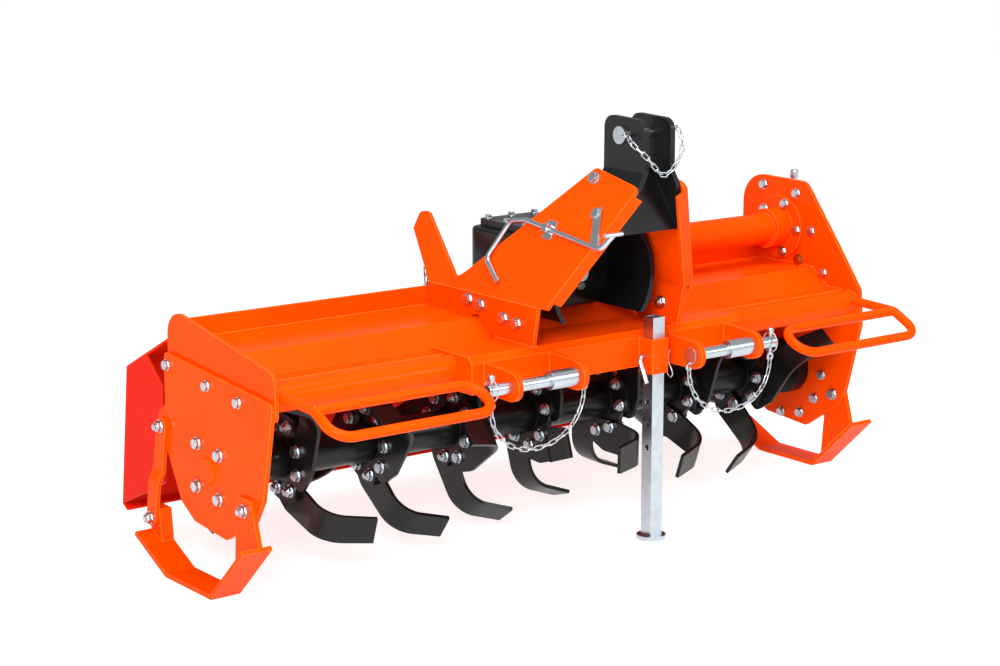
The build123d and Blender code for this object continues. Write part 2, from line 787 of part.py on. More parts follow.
for name, sign, face in (("left", -1, left_face), ("right", 1, right_face)):
    with BuildPart() as skid:
        with BuildSketch(side(strip_starts[name])):
            folded([skid_rear, (SKID_FLAT_REAR, floor), (SKID_FLAT_FRONT, floor), skid_front], PLATE)
        extrude(amount=sign * SKID_WIDTH)
        with BuildSketch(side(face)):
            outline(
                [
                    (skid_front[0] + 4, skid_front[1] + 4),
                    (SKID_BOLT[0] - 22, SKID_BOLT[1] + 22),
                    (SKID_BOLT[0] + 18, SKID_BOLT[1] + 22),
                    (SKID_BOLT[0] + 30, SKID_BOLT[1] - 40),
                    (SKID_FLAT_FRONT - 26, floor + 34),
                ]
            )
        extrude(amount=sign * PLATE)
        with BuildSketch(side(strip_starts[name])):
            outline(
                [
                    (strap_low[0] - 24, floor + 42),
                    (strap_low[0] - 18, strap_low[1] + 18),
                    (strap_low[0] + 18, strap_low[1] + 18),
                    (strap_low[0] + 14, floor + 52),
                ]
            )
        extrude(amount=face + sign * PLATE - strip_starts[name])
    save(skid.part, f"{name}_skid")
    strap_origin = place(face, *strap_low)
    with BuildPart() as strap:
        section = Plane(origin=strap_origin, x_dir=strap_axis, z_dir=strap_axis.cross(Vector(sign, 0, 0)))
        with BuildSketch(section):
            with BuildLine() as joggle:
                FilletPolyline(
                    (-STRAP_WIDTH, PLATE),
                    (STRAP_KNEE, PLATE),
                    (STRAP_KNEE + 3 * PLATE, 0),
                    (strap_run + STRAP_WIDTH, 0),
                    radius=PLATE,
                )
                offset(amount=PLATE, side=Side.LEFT)
            make_face(joggle.edges())
        extrude(amount=STRAP_WIDTH, both=True)
        with BuildSketch(Plane(origin=strap_origin, x_dir=strap_axis, z_dir=(1, 0, 0))):
            with Locations((strap_run / 2, 0)):
                SlotCenterToCenter(strap_run, STRAP_WIDTH)
        extrude(amount=3 * PLATE, both=True, mode=Mode.INTERSECT)
    save(strap.part, f"{name}_skid_strap")

# Bent-rod guards in front of the rotor's ends
ROD = 9.0
GUARD_INNER = 367.0
GUARD_INSET = 12.0
GUARD_TURN = 36.0

guard_root = (tube_y - 8, tube_z + 10)
guard_bend = (tube_y - 134, tube_z + 5)
guard_corner = (tube_y - 201, tube_z - 30)

for name, sign, face in (("left", -1, hood_left), ("right", 1, hood_right)):
    arm = face - sign * GUARD_INSET
    inner = sign * GUARD_INNER
    with BuildPart() as rod_guard:
        with BuildLine() as loop:
            FilletPolyline(
                place(arm, *guard_root),
                place(arm, *guard_bend),
                place(arm, *guard_corner),
                place(inner, *guard_corner),
                place(inner, *guard_bend),
                place((arm + inner) / 2, *guard_bend),
                radius=GUARD_TURN,
            )
        with BuildSketch(Plane(origin=loop.line @ 0, z_dir=loop.line % 0)):
            Circle(ROD)
        sweep()
        with BuildSketch(Plane(origin=loop.line @ 1, z_dir=loop.line % 1)):
            Circle(ROD)
        extrude(amount=abs(arm - inner) / 2)
        with BuildSketch(side(hood_left)):
            with Locations((tube_y, tube_z)):
                Circle(TUBE_RADIUS)
        extrude(amount=hood_length, mode=Mode.SUBTRACT)
    save(rod_guard.part, f"{name}_guard")

# Rest for the drive shaft: a bent rod with a short strap, clipped outside the left leaning plate
HOOK_ROD = 5.0
HOOK_GAP = 1.0
HOOK_TURN = 18.0
HOOK_STRAP = 10.0
CLIP_Y = -189.0
CLIP_LENGTH = 26.0
CLIP_WIDTH = 36.0
CLIP_WALL = 3.0
CLIP_PLAY = 0.3
CROSS_HALF = 20.0
CROSS_ROD = 4.0

hook_height = bend_z + 110
hook_points = [
    (-112, hook_height - 86),
    (-52, hook_height - 52),
    (-78, hook_height + 18),
    (-120, hook_height + 24),
    (-346, hook_height),
    (-364, hook_height + 28),
]


def beside(y, z):
    """Point on the rod's middle plane, outside the left leaning plate's point at depth y and height z."""
    outside = PLATE + HOOK_GAP + HOOK_ROD
    return lean_plane(-1).from_local_coords(Vector(y, (z - bend_z) * stretch, -outside))


hook_end = beside(*hook_points[-1])
hook_plane = lean_plane(-1).offset(-PLATE - HOOK_GAP)

with BuildPart() as pto_hook:
    with BuildLine() as hook_line:
        FilletPolyline(*[beside(*point) for point in hook_points], radius=HOOK_TURN)
    with BuildSketch(Plane(origin=hook_line.line @ 0, z_dir=hook_line.line % 0)):
        Circle(HOOK_ROD)
    sweep()
    with BuildSketch(Plane(origin=hook_end, z_dir=(1, 0, 0))):
        Circle(CROSS_ROD)
    extrude(amount=CROSS_HALF, both=True)
    with BuildSketch(hook_plane):
        outline(
            leaning(
                [
                    (-318, hook_height - 2),
                    (-338, hook_height - 4),
                    (-304, hook_height + 70),
                    (-288, hook_height + 62),
                ]
            ),
            radius=HOOK_ROD,
        )
    extrude(amount=-HOOK_ROD)
save(pto_hook.part, "pto_hook")

run_start = beside(*hook_points[3])
run_end = beside(*hook_points[4])
clip_share = (CLIP_Y - hook_points[3][0]) / (hook_points[4][0] - hook_points[3][0])
clip_z = hook_points[3][1] + clip_share * (hook_points[4][1] - hook_points[3][1])
with BuildPart() as hook_clip:
    with BuildSketch(lean_plane(-1).offset(-PLATE)):
        with Locations((CLIP_Y, (clip_z - bend_z) * stretch)):
            Rectangle(CLIP_LENGTH, CLIP_WIDTH)
    extrude(amount=-CLIP_WALL)
    with BuildSketch(lean_plane(-1).offset(-PLATE)):
        with Locations((CLIP_Y, (clip_z - bend_z) * stretch)):
            Rectangle(CLIP_LENGTH / 2, 2 * (HOOK_ROD + CLIP_WALL))
    extrude(amount=-2 * (HOOK_ROD + CLIP_WALL))
    with BuildSketch(Plane(origin=run_start, z_dir=run_end - run_start)):
        Circle(HOOK_ROD + CLIP_PLAY)
    extrude(amount=(run_end - run_start).length, mode=Mode.SUBTRACT)
save(hook_clip.part, "hook_clip")

# Parking stand: sleeve on the beam, square leg with a round foot, ends of the lock pin
STAND_X = 88.0
SLEEVE_WALL = 5.0
SLEEVE_BELOW = 10.0
LEG_ABOVE = 40.0
FOOT_RADIUS = 28.0
FOOT_PLATE = 8.0
LOCK_RADIUS = 5.0
LOCK_HANDLE = 46.0
LOCK_END = 14.0
LOCK_GAP = 0.5
LEG_HOLES = 5
LEG_HOLE_PITCH = 44.0

sleeve_size = LEG + 2 * RUNNING_GAP + 2 * SLEEVE_WALL
sleeve_low = beam_bottom - SLEEVE_BELOW
sleeve_top = beam_top - BEAM_BEVEL
stand_y = beam_front - sleeve_size / 2
lock_z = (sleeve_low + sleeve_top) / 2

with BuildPart() as stand_sleeve:
    with BuildSketch(level(sleeve_low)):
        with Locations((STAND_X, stand_y)):
            Rectangle(sleeve_size, sleeve_size)
            Rectangle(LEG + 2 * RUNNING_GAP, LEG + 2 * RUNNING_GAP, mode=Mode.SUBTRACT)
    extrude(amount=sleeve_top - sleeve_low)
    with BuildSketch(side(STAND_X)):
        with Locations((stand_y, lock_z)):
            Circle(LOCK_RADIUS + RUNNING_GAP)
    extrude(amount=sleeve_size, both=True, mode=Mode.SUBTRACT)
save(stand_sleeve.part, "stand_sleeve")

with BuildPart() as stand_leg:
    with BuildSketch(level(floor)):
        with Locations((STAND_X, stand_y)):
            Circle(FOOT_RADIUS)
    extrude(amount=FOOT_PLATE)
    with BuildSketch(level(floor + FOOT_PLATE)):
        with Locations((STAND_X, stand_y)):
            Rectangle(LEG, LEG)
            Rectangle(LEG - 2 * SHEET, LEG - 2 * SHEET, mode=Mode.SUBTRACT)
    extrude(amount=sleeve_top + LEG_ABOVE - floor - FOOT_PLATE)
    with BuildSketch(side(STAND_X)):
        for hole in range(LEG_HOLES):
            with Locations((stand_y, lock_z - hole * LEG_HOLE_PITCH)):
                Circle(LOCK_RADIUS + LOCK_GAP)
    extrude(amount=LEG, both=True, mode=Mode.SUBTRACT)
save(stand_leg.part, "stand_leg")

with BuildPart() as stand_lock_pin:
    with BuildSketch(side(STAND_X + LEG / 2 + LOCK_GAP)):
        with Locations((stand_y, lock_z)):
            Circle(LOCK_RADIUS)
    extrude(amount=SLEEVE_WALL + LOCK_END)
    with BuildLine() as handle:
        FilletPolyline(
            place(STAND_X - LEG / 2 - LOCK_GAP, stand_y, lock_z),
            place(STAND_X - LEG / 2 - LOCK_HANDLE / 2, stand_y, lock_z),
            place(STAND_X - LEG / 2 - LOCK_HANDLE / 2, stand_y - LOCK_HANDLE / 2, lock_z - LOCK_HANDLE),
            radius=2 * LOCK_RADIUS,
        )
    with BuildSketch(Plane(origin=handle.line @ 0, z_dir=handle.line % 0)):
        Circle(LOCK_RADIUS)
    sweep(path=handle.line)
save(stand_lock_pin.part, "stand_lock_pin")

# Tailboard hung behind the upstand: hinge rod with fixed and moving knuckles
HINGE_BACK = 17.0
HINGE_DROP = 18.0
HINGE_ROD = 5.0
KNUCKLE = 9.0
KNUCKLE_LENGTH = 50.0
KNUCKLE_GAP = 2.0
HINGE_SPOTS = (-520.0, 0.0, 500.0)
BOARD_CLEAR = 5.0

hinge_y = UPSTAND_Y + HINGE_BACK
hinge_z = upstand_z - HINGE_DROP
board_left = hood_left + BOARD_CLEAR
board_right = hood_right - BOARD_CLEAR
board_start = (hinge_y + KNUCKLE + 8, hinge_z - 12)
board_bend = (hinge_y + 212, hinge_z - 109)
board_foot = (hinge_y + 247, hinge_z - 382)
board_lip = (board_foot[0] - 18, board_foot[1] - 10)
board_wing = [
    (hinge_y + 135, hinge_z - 74),
    (hinge_y + 79, hinge_z - 121),
    (hinge_y + 79, hinge_z - 304),
    (hinge_y + 115, hinge_z - 323),
]
board_share = (CHAIN_Y - board_start[0]) / (board_bend[0] - board_start[0])
board_eye = place(
    CHAIN_X, CHAIN_Y, board_start[1] + board_share * (board_bend[1] - board_start[1]) + EYE_RADIUS - 1
)

with BuildPart() as tailboard_hinge:
    for x in HINGE_SPOTS:
        with BuildSketch(side(x - KNUCKLE_LENGTH / 2)):
            with Locations((hinge_y, hinge_z)):
                Circle(KNUCKLE)
            with Locations(((hinge_y + UPSTAND_Y + SHEET) / 2, hinge_z)):
                Rectangle(hinge_y - UPSTAND_Y - SHEET, 2 * KNUCKLE)
        extrude(amount=KNUCKLE_LENGTH)
    with BuildSketch(side(HINGE_SPOTS[0] - 2 * KNUCKLE_LENGTH)):
        with Locations((hinge_y, hinge_z)):
            Circle(HINGE_ROD)
    extrude(amount=HINGE_SPOTS[-1] - HINGE_SPOTS[0] + 4 * KNUCKLE_LENGTH)
save(tailboard_hinge.part, "tailboard_hinge")

with BuildPart() as tailboard:
    with BuildSketch(side(board_left)):
        folded([board_start, board_bend, board_foot, board_lip], SHEET)
    extrude(amount=board_right - board_left)
    for x, direction in ((board_left, 1), (board_right, -1)):
        with BuildSketch(side(x)):
            outline([board_bend, *board_wing, board_foot])
        extrude(amount=direction * SHEET)
    for x in HINGE_SPOTS:
        for start in (x - KNUCKLE_LENGTH * 1.5 - KNUCKLE_GAP, x + KNUCKLE_LENGTH / 2 + KNUCKLE_GAP):
            with BuildSketch(side(start)):
                outline(
                    [
                        (hinge_y, hinge_z - KNUCKLE),
                        (hinge_y, hinge_z + KNUCKLE),
                        board_start,
                        (board_start[0] + 8, board_start[1] - 8),
                    ]
                )
                with Locations((hinge_y, hinge_z)):
                    Circle(KNUCKLE)
            extrude(amount=KNUCKLE_LENGTH)
    with BuildSketch(side(board_left)):
        with Locations((hinge_y, hinge_z)):
            Circle(HINGE_ROD + RUNNING_GAP)
    extrude(amount=board_right - board_left, mode=Mode.SUBTRACT)
    eye(board_eye, (0, 1, 0))
save(tailboard.part, "tailboard")

# Tailboard's chain, in two lengths: one hangs from the post, one stands on the tailboard
CHAIN_OPEN = 8.0

post_end = post_eye - Vector(0, 0, eye_seat)
board_end = board_eye + Vector(0, 0, eye_seat)
chain_split = board_eye + Vector(0, 0, (post_end - board_end).length * 0.6)
chain("tail_chain", Line(post_end, chain_split + Vector(0, 0, CHAIN_OPEN)), (0, 1, 0), (0, 1, 0))
chain("tailboard_chain", Line(board_end, chain_split - Vector(0, 0, CHAIN_OPEN)), (0, 1, 0), (0, 1, 0))

# Rotor: shaft with lobed flanges, and four bent tines on each flange turned alternately left and right
SHAFT_RADIUS = 35.0
FLANGE_RADIUS = 82.0
FLANGE = 10.0
SCALLOP_RADIUS = 34.0
SCALLOP_PLACE = 98.0
STUB_END = 3.0
TINE_THICK = 7.0
TINE_INNER = 36.0
TINE_OUTER = 101.0
TIP_INNER = 48.0
TIP_OUTER = 98.0
TINE_TAIL = 26.0
TINE_REACH = 97.0
TINE_BEND = 60.0
TINE_FLARE = 20.0
TINE_START = -162.0
TINE_STEP = 18.3
TINE_LOBE = 70.0

rotor_left = left_inner + BEARING_LENGTH + STUB_END
rotor_right = hood_right - HUB_LENGTH - STUB_END
flange_count = int((rotor_right - rotor_left - 2 * TINE_REACH) / FLANGE_PITCH) + 1
flange_start = (rotor_left + rotor_right) / 2 - FLANGE_PITCH * (flange_count - 1) / 2
flange_places = [flange_start + FLANGE_PITCH * index for index in range(flange_count)]
tine_tip = sqrt(TINE_RADIUS**2 - TIP_OUTER**2)
tine_knee = tine_tip - (TINE_REACH - FLANGE / 2) * tan(radians(TINE_FLARE))

with BuildPart() as rotor_shaft:
    with BuildSketch(side(rotor_left)):
        Circle(SHAFT_RADIUS)
    extrude(amount=rotor_right - rotor_left)
    with BuildSketch(side(left_inner + STUB_END)):
        Circle(STUB_RADIUS)
    extrude(amount=BEARING_LENGTH)
    with BuildSketch(side(hood_right - STUB_END)):
        Circle(HUB_RADIUS)
    extrude(amount=-HUB_LENGTH)
    for index, x in enumerate(flange_places):
        with BuildSketch(side(x - FLANGE / 2)):
            Circle(FLANGE_RADIUS)
            first_lobe = TINE_START + TINE_STEP * index + TINE_LOBE
            with PolarLocations(SCALLOP_PLACE, 4, start_angle=first_lobe + 45):
                Circle(SCALLOP_RADIUS, mode=Mode.SUBTRACT)
        extrude(amount=FLANGE)
save(rotor_shaft.part, "rotor_shaft")

with BuildPart() as right_tine:
    with BuildSketch(Plane.XY.offset(TINE_INNER)):
        folded(
            [(FLANGE / 2, -TINE_TAIL), (FLANGE / 2, tine_knee), (TINE_REACH, tine_tip)],
            TINE_THICK,
            radius=TINE_BEND,
        )
    extrude(amount=TINE_OUTER - TINE_INNER)
    with BuildSketch(Plane.YZ):
        outline(
            [
                (-TINE_TAIL, TINE_INNER + 2),
                (-TINE_TAIL, TINE_OUTER - 18),
                (20, TINE_OUTER),
                (tine_tip + PLATE, TIP_OUTER),
                (tine_tip + PLATE, TIP_INNER),
                (70, TINE_INNER),
            ],
            radius=[10, 14, 30, 1, 1, 40],
        )
    extrude(amount=TINE_REACH + PLATE, mode=Mode.INTERSECT)

left_tine = right_tine.part.mirror(Plane.YZ)
tine_copies = []
for index, x in enumerate(flange_places):
    for quarter in range(4):
        tine = right_tine.part if quarter % 2 == 0 else left_tine
        spot = Location((x, ROTOR_Y, AXIS_Z), (TINE_START + TINE_STEP * index + 90 * quarter, 0, 0))
        tine_copies.append(tine.moved(spot))

with BuildPart() as tines:
    add(tine_copies)
save(tines.part, "tines")
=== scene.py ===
"""Looks of the rotary tiller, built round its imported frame.

Places are given in millimetres as x, distance behind the rotor's axis and height above the floor. X runs
to the gear-case side and the tractor stands on the -Y side.
"""

import json
import logging
import math
from dataclasses import dataclass, field, replace
from enum import Enum
from typing import Iterable, Sequence

import bpy
import numpy as np
from mathutils import Matrix


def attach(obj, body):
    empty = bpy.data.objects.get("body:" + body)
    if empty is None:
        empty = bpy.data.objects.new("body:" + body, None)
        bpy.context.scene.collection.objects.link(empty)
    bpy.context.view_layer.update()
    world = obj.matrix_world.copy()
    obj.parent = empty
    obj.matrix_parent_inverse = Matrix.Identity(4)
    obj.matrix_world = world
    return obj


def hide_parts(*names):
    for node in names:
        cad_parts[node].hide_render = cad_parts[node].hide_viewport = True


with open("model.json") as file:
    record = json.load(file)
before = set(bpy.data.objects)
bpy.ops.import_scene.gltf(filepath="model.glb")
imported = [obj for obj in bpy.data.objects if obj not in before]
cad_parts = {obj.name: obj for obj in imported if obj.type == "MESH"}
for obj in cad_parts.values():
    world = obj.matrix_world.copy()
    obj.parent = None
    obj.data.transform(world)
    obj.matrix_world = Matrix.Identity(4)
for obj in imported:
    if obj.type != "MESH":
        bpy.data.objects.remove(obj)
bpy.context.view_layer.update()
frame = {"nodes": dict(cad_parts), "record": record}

LOG = logging.getLogger("tiller")
Place = tuple[float, float, float]
Spot = tuple[float, float]

MM = 0.001  # metres in a millimetre
ROTOR_Y = 8.0  # how far the rotor's axis lies behind the frame's origin
AXIS_Z = 210.0  # the rotor's axis above the floor
FLANGE_X = tuple(-563.0 + 185.0 * i for i in range(7))  # the rotor's flanges, from the left
DRIVE_AXIS: Spot = (32.0, 503.0)  # the drive tube's middle: behind the rotor's axis, and up
INPUT_AXIS: Spot = (0.0, 503.0)  # the input shaft's middle: across, and up
SHARP = math.radians(20)  # an edge that bends more than this stays sharp
WRENCH_TURN = 0.4  # how far every fastener is turned from square, in radians
LEFT, RIGHT = (-1.0, 0.0, 0.0), (1.0, 0.0, 0.0)
FRONT, BACK = (0.0, -1.0, 0.0), (0.0, 1.0, 0.0)
DOWN, UP = (0.0, 0.0, -1.0), (0.0, 0.0, 1.0)
WHITE = (1.0, 1.0, 1.0, 1.0)
FACTOR, FIRST, SECOND, MIXED = 0, 6, 7, 2  # a colour Mix node's inputs, and its output, by number


class Body(Enum):
    """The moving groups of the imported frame."""

    FRAME = "frame"
    ROTOR = "rotor"
    TAILBOARD = "tailboard"


class Coat(Enum):
    """The finishes, by the record's material slot and by what they are."""

    ORANGE = "orange_paint"
    # The orange coat darkened to red, painted shade for the tailboard
    PAINTED_SHADE_ORANGE = "orange_paint_in_painted_shade"
    BLACK = "black_paint"
    ZINC = "zinc_plate"
    STEEL = "bright_steel"
    BRASS = "brass"

    @property
    def slot(self) -> str:
        """The record's material slot that this finish belongs to."""
        return {Coat.PAINTED_SHADE_ORANGE: Coat.ORANGE, Coat.BRASS: Coat.ZINC}.get(self, self).value


def at(points: Sequence) -> np.ndarray:
    """Turn places in millimetres about the rotor's axis into metres of the frame.

    Args:
        points: One place or many, each as x, distance behind the rotor's axis and height.

    Returns:
        An array of the same shape in metres.
    """
    return (np.asarray(points, float) + (0.0, ROTOR_Y, 0.0)) * MM


def unit(vectors: np.ndarray) -> np.ndarray:
    """Scale each vector of an array to length one."""
    return vectors / np.linalg.norm(vectors, axis=-1, keepdims=True)


def linear(colour: str) -> tuple[float, float, float, float]:
    """Turn an sRGB hex colour into linear red, green, blue and alpha.

    Args:
        colour: Six hex digits after a hash sign.

    Returns:
        Four numbers from 0 to 1.
    """
    share = np.array([int(colour[i:i + 2], 16) for i in (1, 3, 5)]) / 255
    light = np.where(share <= 0.04045, share / 12.92, ((share + 0.055) / 1.055) ** 2.4)
    return (*light.tolist(), 1.0)


def add_node(tree: bpy.types.NodeTree, kind: str, inputs: dict | None = None,
             **settings: object) -> bpy.types.Node:
    """Add one node to a tree with its settings, values and links.

    Args:
        tree: The node tree that gets the node.
        kind: Blender's name of the node.
        inputs: Values or output sockets for the node's inputs, by name or number.
        settings: Attributes to set on the node first.

    Returns:
        The new node.
    """
    node = tree.nodes.new(kind)
    for key, value in settings.items():
        setattr(node, key, value)
    for key, value in (inputs or {}).items():
        if isinstance(value, bpy.types.NodeSocket):
            tree.links.new(value, node.inputs[key])
        else:
            node.inputs[key].default_value = value
    return node


@dataclass(frozen=True)
class Finish:
    """A surface finish.

    Its colour drifts to a second one in clouds, and its roughness spreads with them. Along its edges the colour
    turns to a lighter one, a painted highlight. Its grain, its clouds and the radius of its edges are real
    sizes in millimetres. Gloss is the weight of a clear coat.
    """

    name: str
    colour: str
    drift: str
    edge_highlight_colour: str
    roughness: float
    spread: float
    metallic: float
    specular: float
    grain_mm: float
    cloud_mm: float
    bump: float
    edge_mm: float
    gloss: float = 0.0
    gloss_roughness: float = 0.1

    def material(self) -> bpy.types.Material:
        """Make the material of this finish.

        The colour drifts in clouds, the roughness follows the same clouds, the grain lifts the normal, edges
        are rounded on a small radius, and a lighter colour is painted along them as a highlight.

        Returns:
            The finished material.
        """
        made = bpy.data.materials.new(self.name)
        made.use_nodes = True
        tree = made.node_tree
        shader = tree.nodes["Principled BSDF"]
        place = add_node(tree, "ShaderNodeTexCoord").outputs["Object"]
        clouds = add_node(tree, "ShaderNodeTexNoise", {
            "Vector": place, "Scale": 1 / (self.cloud_mm * MM), "Detail": 5.0,
            "Roughness": 0.6}).outputs["Fac"]
        grain = add_node(tree, "ShaderNodeTexNoise", {
            "Vector": place, "Scale": 1 / (self.grain_mm * MM), "Detail": 3.0}).outputs["Fac"]
        ramp = add_node(tree, "ShaderNodeMapRange", {"Value": clouds, "From Min": 0.35, "From Max": 0.68})
        tone = add_node(tree, "ShaderNodeMix", {
            FACTOR: ramp.outputs["Result"], FIRST: linear(self.colour), SECOND: linear(self.drift)},
            data_type="RGBA")
        rounded = add_node(tree, "ShaderNodeBevel", {"Radius": self.edge_mm * MM},
                           samples=6).outputs["Normal"]
        flat = add_node(tree, "ShaderNodeNewGeometry").outputs["Normal"]
        agree = add_node(tree, "ShaderNodeVectorMath", {0: rounded, 1: flat}, operation="DOT_PRODUCT")
        # Painted highlight: the colour turns lighter where the rounded normal leaves the flat one, along the
        # edges
        painted_edge_highlight = add_node(tree, "ShaderNodeMapRange", {
            "Value": agree.outputs["Value"], "From Min": 0.99, "From Max": 0.80})
        tone_with_painted_highlight = add_node(tree, "ShaderNodeMix", {
            FACTOR: painted_edge_highlight.outputs["Result"], FIRST: tone.outputs[MIXED], SECOND: linear(self.edge_highlight_colour)},
            data_type="RGBA")
        sheen = add_node(tree, "ShaderNodeMapRange", {
            "Value": clouds, "From Min": 0.3, "From Max": 0.7,
            "To Min": self.roughness - self.spread, "To Max": self.roughness + self.spread})
        lift = add_node(tree, "ShaderNodeBump", {
            "Height": grain, "Strength": self.bump, "Distance": 0.05 * self.grain_mm * MM,
            "Normal": rounded})
        tree.links.new(tone_with_painted_highlight.outputs[MIXED], shader.inputs["Base Color"])
        tree.links.new(sheen.outputs["Result"], shader.inputs["Roughness"])
        tree.links.new(lift.outputs["Normal"], shader.inputs["Normal"])
        shader.inputs["Metallic"].default_value = self.metallic
        shader.inputs["Specular IOR Level"].default_value = self.specular
        shader.inputs["Coat Weight"].default_value = self.gloss
        shader.inputs["Coat Roughness"].default_value = self.gloss_roughness
        return made


# Powder coat baked on sheet steel: even colour, a fine orange-peel skin and lighter glints painted along the
# folds as highlights
ORANGE_COAT = Finish(
    name="orange_powder_coat", colour="#F84A00", drift="#F44300", edge_highlight_colour="#FF9440", roughness=0.22,
    spread=0.05, metallic=0.0, specular=0.02, grain_mm=1.6, cloud_mm=220.0, bump=0.30, edge_mm=1.6, gloss=0.04)
# The same coat on the tailboard, darkened to a deeper red than on the frame as painted shade
PAINTED_SHADE_ORANGE_COAT = replace(
    ORANGE_COAT, name="orange_powder_coat_painted_shade", colour="#DE1E00", drift="#D81900", edge_highlight_colour="#FF5A2C")
# Satin black enamel on forgings and castings: near black, with a dry cloudy gloss and grey highlights painted
# along the edges
BLACK_COAT = Finish(
    name="black_satin_enamel", colour="#0D0D0E", drift="#131314", edge_highlight_colour="#2C2C30", roughness=0.36,
    spread=0.09, metallic=0.0, specular=0.20, grain_mm=1.1, cloud_mm=70.0, bump=0.5, edge_mm=1.4, gloss=0.15)
# Zinc plating on fasteners, pins and rods: bright grey metal with faint cool clouds
ZINC_COAT = Finish(
    name="zinc_plating", colour="#BEC7CE", drift="#B2BCC4", edge_highlight_colour="#E2E6E8", roughness=0.30,
    spread=0.04, metallic=1.0, specular=0.5, grain_mm=0.9, cloud_mm=14.0, bump=0.3, edge_mm=0.7)
# Turned bare steel on the input shaft: greyer and closer-grained than the plating
STEEL_COAT = Finish(
    name="turned_steel", colour="#8E8F91", drift="#77787B", edge_highlight_colour="#C9C9C9", roughness=0.24,
    spread=0.06, metallic=1.0, specular=0.5, grain_mm=0.5, cloud_mm=9.0, bump=0.4, edge_mm=0.5)
# Cast brass of the breather's base and the plug: warm yellow metal, dulled in patches
BRASS_COAT = Finish(
    name="brass_fitting", colour="#C8963E", drift="#A87A30", edge_highlight_colour="#E6C57C", roughness=0.30,
    spread=0.08, metallic=1.0, specular=0.5, grain_mm=0.8, cloud_mm=6.0, bump=0.3, edge_mm=0.5)

FINISHES: dict[Coat, Finish] = {
    Coat.ORANGE: ORANGE_COAT, Coat.PAINTED_SHADE_ORANGE: PAINTED_SHADE_ORANGE_COAT, Coat.BLACK: BLACK_COAT, Coat.ZINC: ZINC_COAT,
    Coat.STEEL: STEEL_COAT, Coat.BRASS: BRASS_COAT,
}
# The tailboard takes the orange coat darkened to red, as painted shade
PAINTED_SHADE_NODES: dict[str, Coat] = {"tailboard": Coat.PAINTED_SHADE_ORANGE}


@dataclass(frozen=True)
class Surface:
    """Points in millimetres and faces of four point numbers; a face with a number twice is a triangle."""

    points: np.ndarray
    quads: np.ndarray

    def welded(self) -> "Surface":
        """Join points that lie on each other, so that poles and seams close.

        Returns:
            The same surface without doubled points.
        """
        _, first, number = np.unique(np.round(self.points, 5), axis=0, return_index=True, return_inverse=True)
        return Surface(self.points[first], number.reshape(-1)[self.quads])

    def copies(self, places: np.ndarray, turns: np.ndarray) -> "Surface":
        """Set one copy at each place.

        Args:
            places: One row of x, y, z for each copy.
            turns: One three by three matrix for each copy, its rows the copy's own X, Y and Z.

        Returns:
            All the copies as one surface.
        """
        moved = places[:, None, :] + np.einsum("pk,nkc->npc", self.points, turns)
        shift = np.arange(len(places))[:, None, None] * len(self.points)
        return Surface(moved.reshape(-1, 3), (self.quads[None] + shift).reshape(-1, 4))


def joined(surfaces: Iterable[Surface]) -> Surface:
    """Put several surfaces into one.

    Args:
        surfaces: The surfaces, in order.

    Returns:
        One surface with all their points and faces.
    """
    parts = list(surfaces)
    starts = np.cumsum([0] + [len(part.points) for part in parts[:-1]])
    return Surface(np.concatenate([part.points for part in parts]),
                   np.concatenate([part.quads + start for part, start in zip(parts, starts)]))


def grid_quads(rows: int, columns: int, round_rows: bool = False, round_columns: bool = False) -> np.ndarray:
    """Faces of a grid of points, joined end to end where asked.

    Args:
        rows: Points along the first parameter.
        columns: Points along the second.
        round_rows: Join the last row to the first.
        round_columns: Join the last column to the first.

    Returns:
        One row of four point numbers for each face.
    """
    row, column = np.meshgrid(np.arange(rows - (not round_rows)), np.arange(columns - (not round_columns)),
                              indexing="ij")
    next_row, next_column = (row + 1) % rows, (column + 1) % columns
    corners = [row * columns + column, row * columns + next_column,
               next_row * columns + next_column, next_row * columns + column]
    return np.stack(corners, -1).reshape(-1, 4)


def turned(radii: np.ndarray, heights: np.ndarray) -> Surface:
    """Turn a profile about +Z: each point is (r cos t, r sin t, h), r and h given on a grid of row and turn.

    Args:
        radii: Radius on each row of the profile at each turn; a row of zeros closes to a pole.
        heights: Height of the same points.

    Returns:
        The closed surface, facing outwards where the rows run upwards outside.
    """
    rows, columns = radii.shape
    turn = np.linspace(0, 2 * np.pi, columns, endpoint=False)
    points = np.stack([radii * np.cos(turn), radii * np.sin(turn), np.broadcast_to(heights, radii.shape)], -1)
    return Surface(points.reshape(-1, 3), grid_quads(rows, columns, round_columns=True)).welded()


def tube(path: np.ndarray, across: Sequence[float], radius: np.ndarray | float, sides: int,
         closed: bool) -> Surface:
    """Sweep a circle along a flat path: each point is path + r (cos a N + sin a B), with B square to its plane.

    Args:
        path: One row of x, y, z for each station.
        across: The unit vector square to the path's plane.
        radius: The circle's radius, one number or one for each station.
        sides: Points round the circle.
        closed: Join the path's end to its start; an open path is closed by a pole at each end.

    Returns:
        The closed surface.
    """
    radius = np.broadcast_to(np.asarray(radius, float), (len(path),))
    along = np.roll(path, -1, 0) - np.roll(path, 1, 0) if closed else np.gradient(path, axis=0)
    if not closed:
        path, along = (np.concatenate([line[:1], line, line[-1:]]) for line in (path, along))
        radius = np.concatenate([[0.0], radius, [0.0]])
    normal = unit(np.cross(across, along))
    turn = np.linspace(0, 2 * np.pi, sides, endpoint=False)
    ring = np.cos(turn)[None, :, None] * normal[:, None] + np.sin(turn)[None, :, None] * np.asarray(across)
    points = path[:, None] + radius[:, None, None] * ring
    return Surface(points.reshape(-1, 3), grid_quads(len(path), sides, closed, True)).welded()


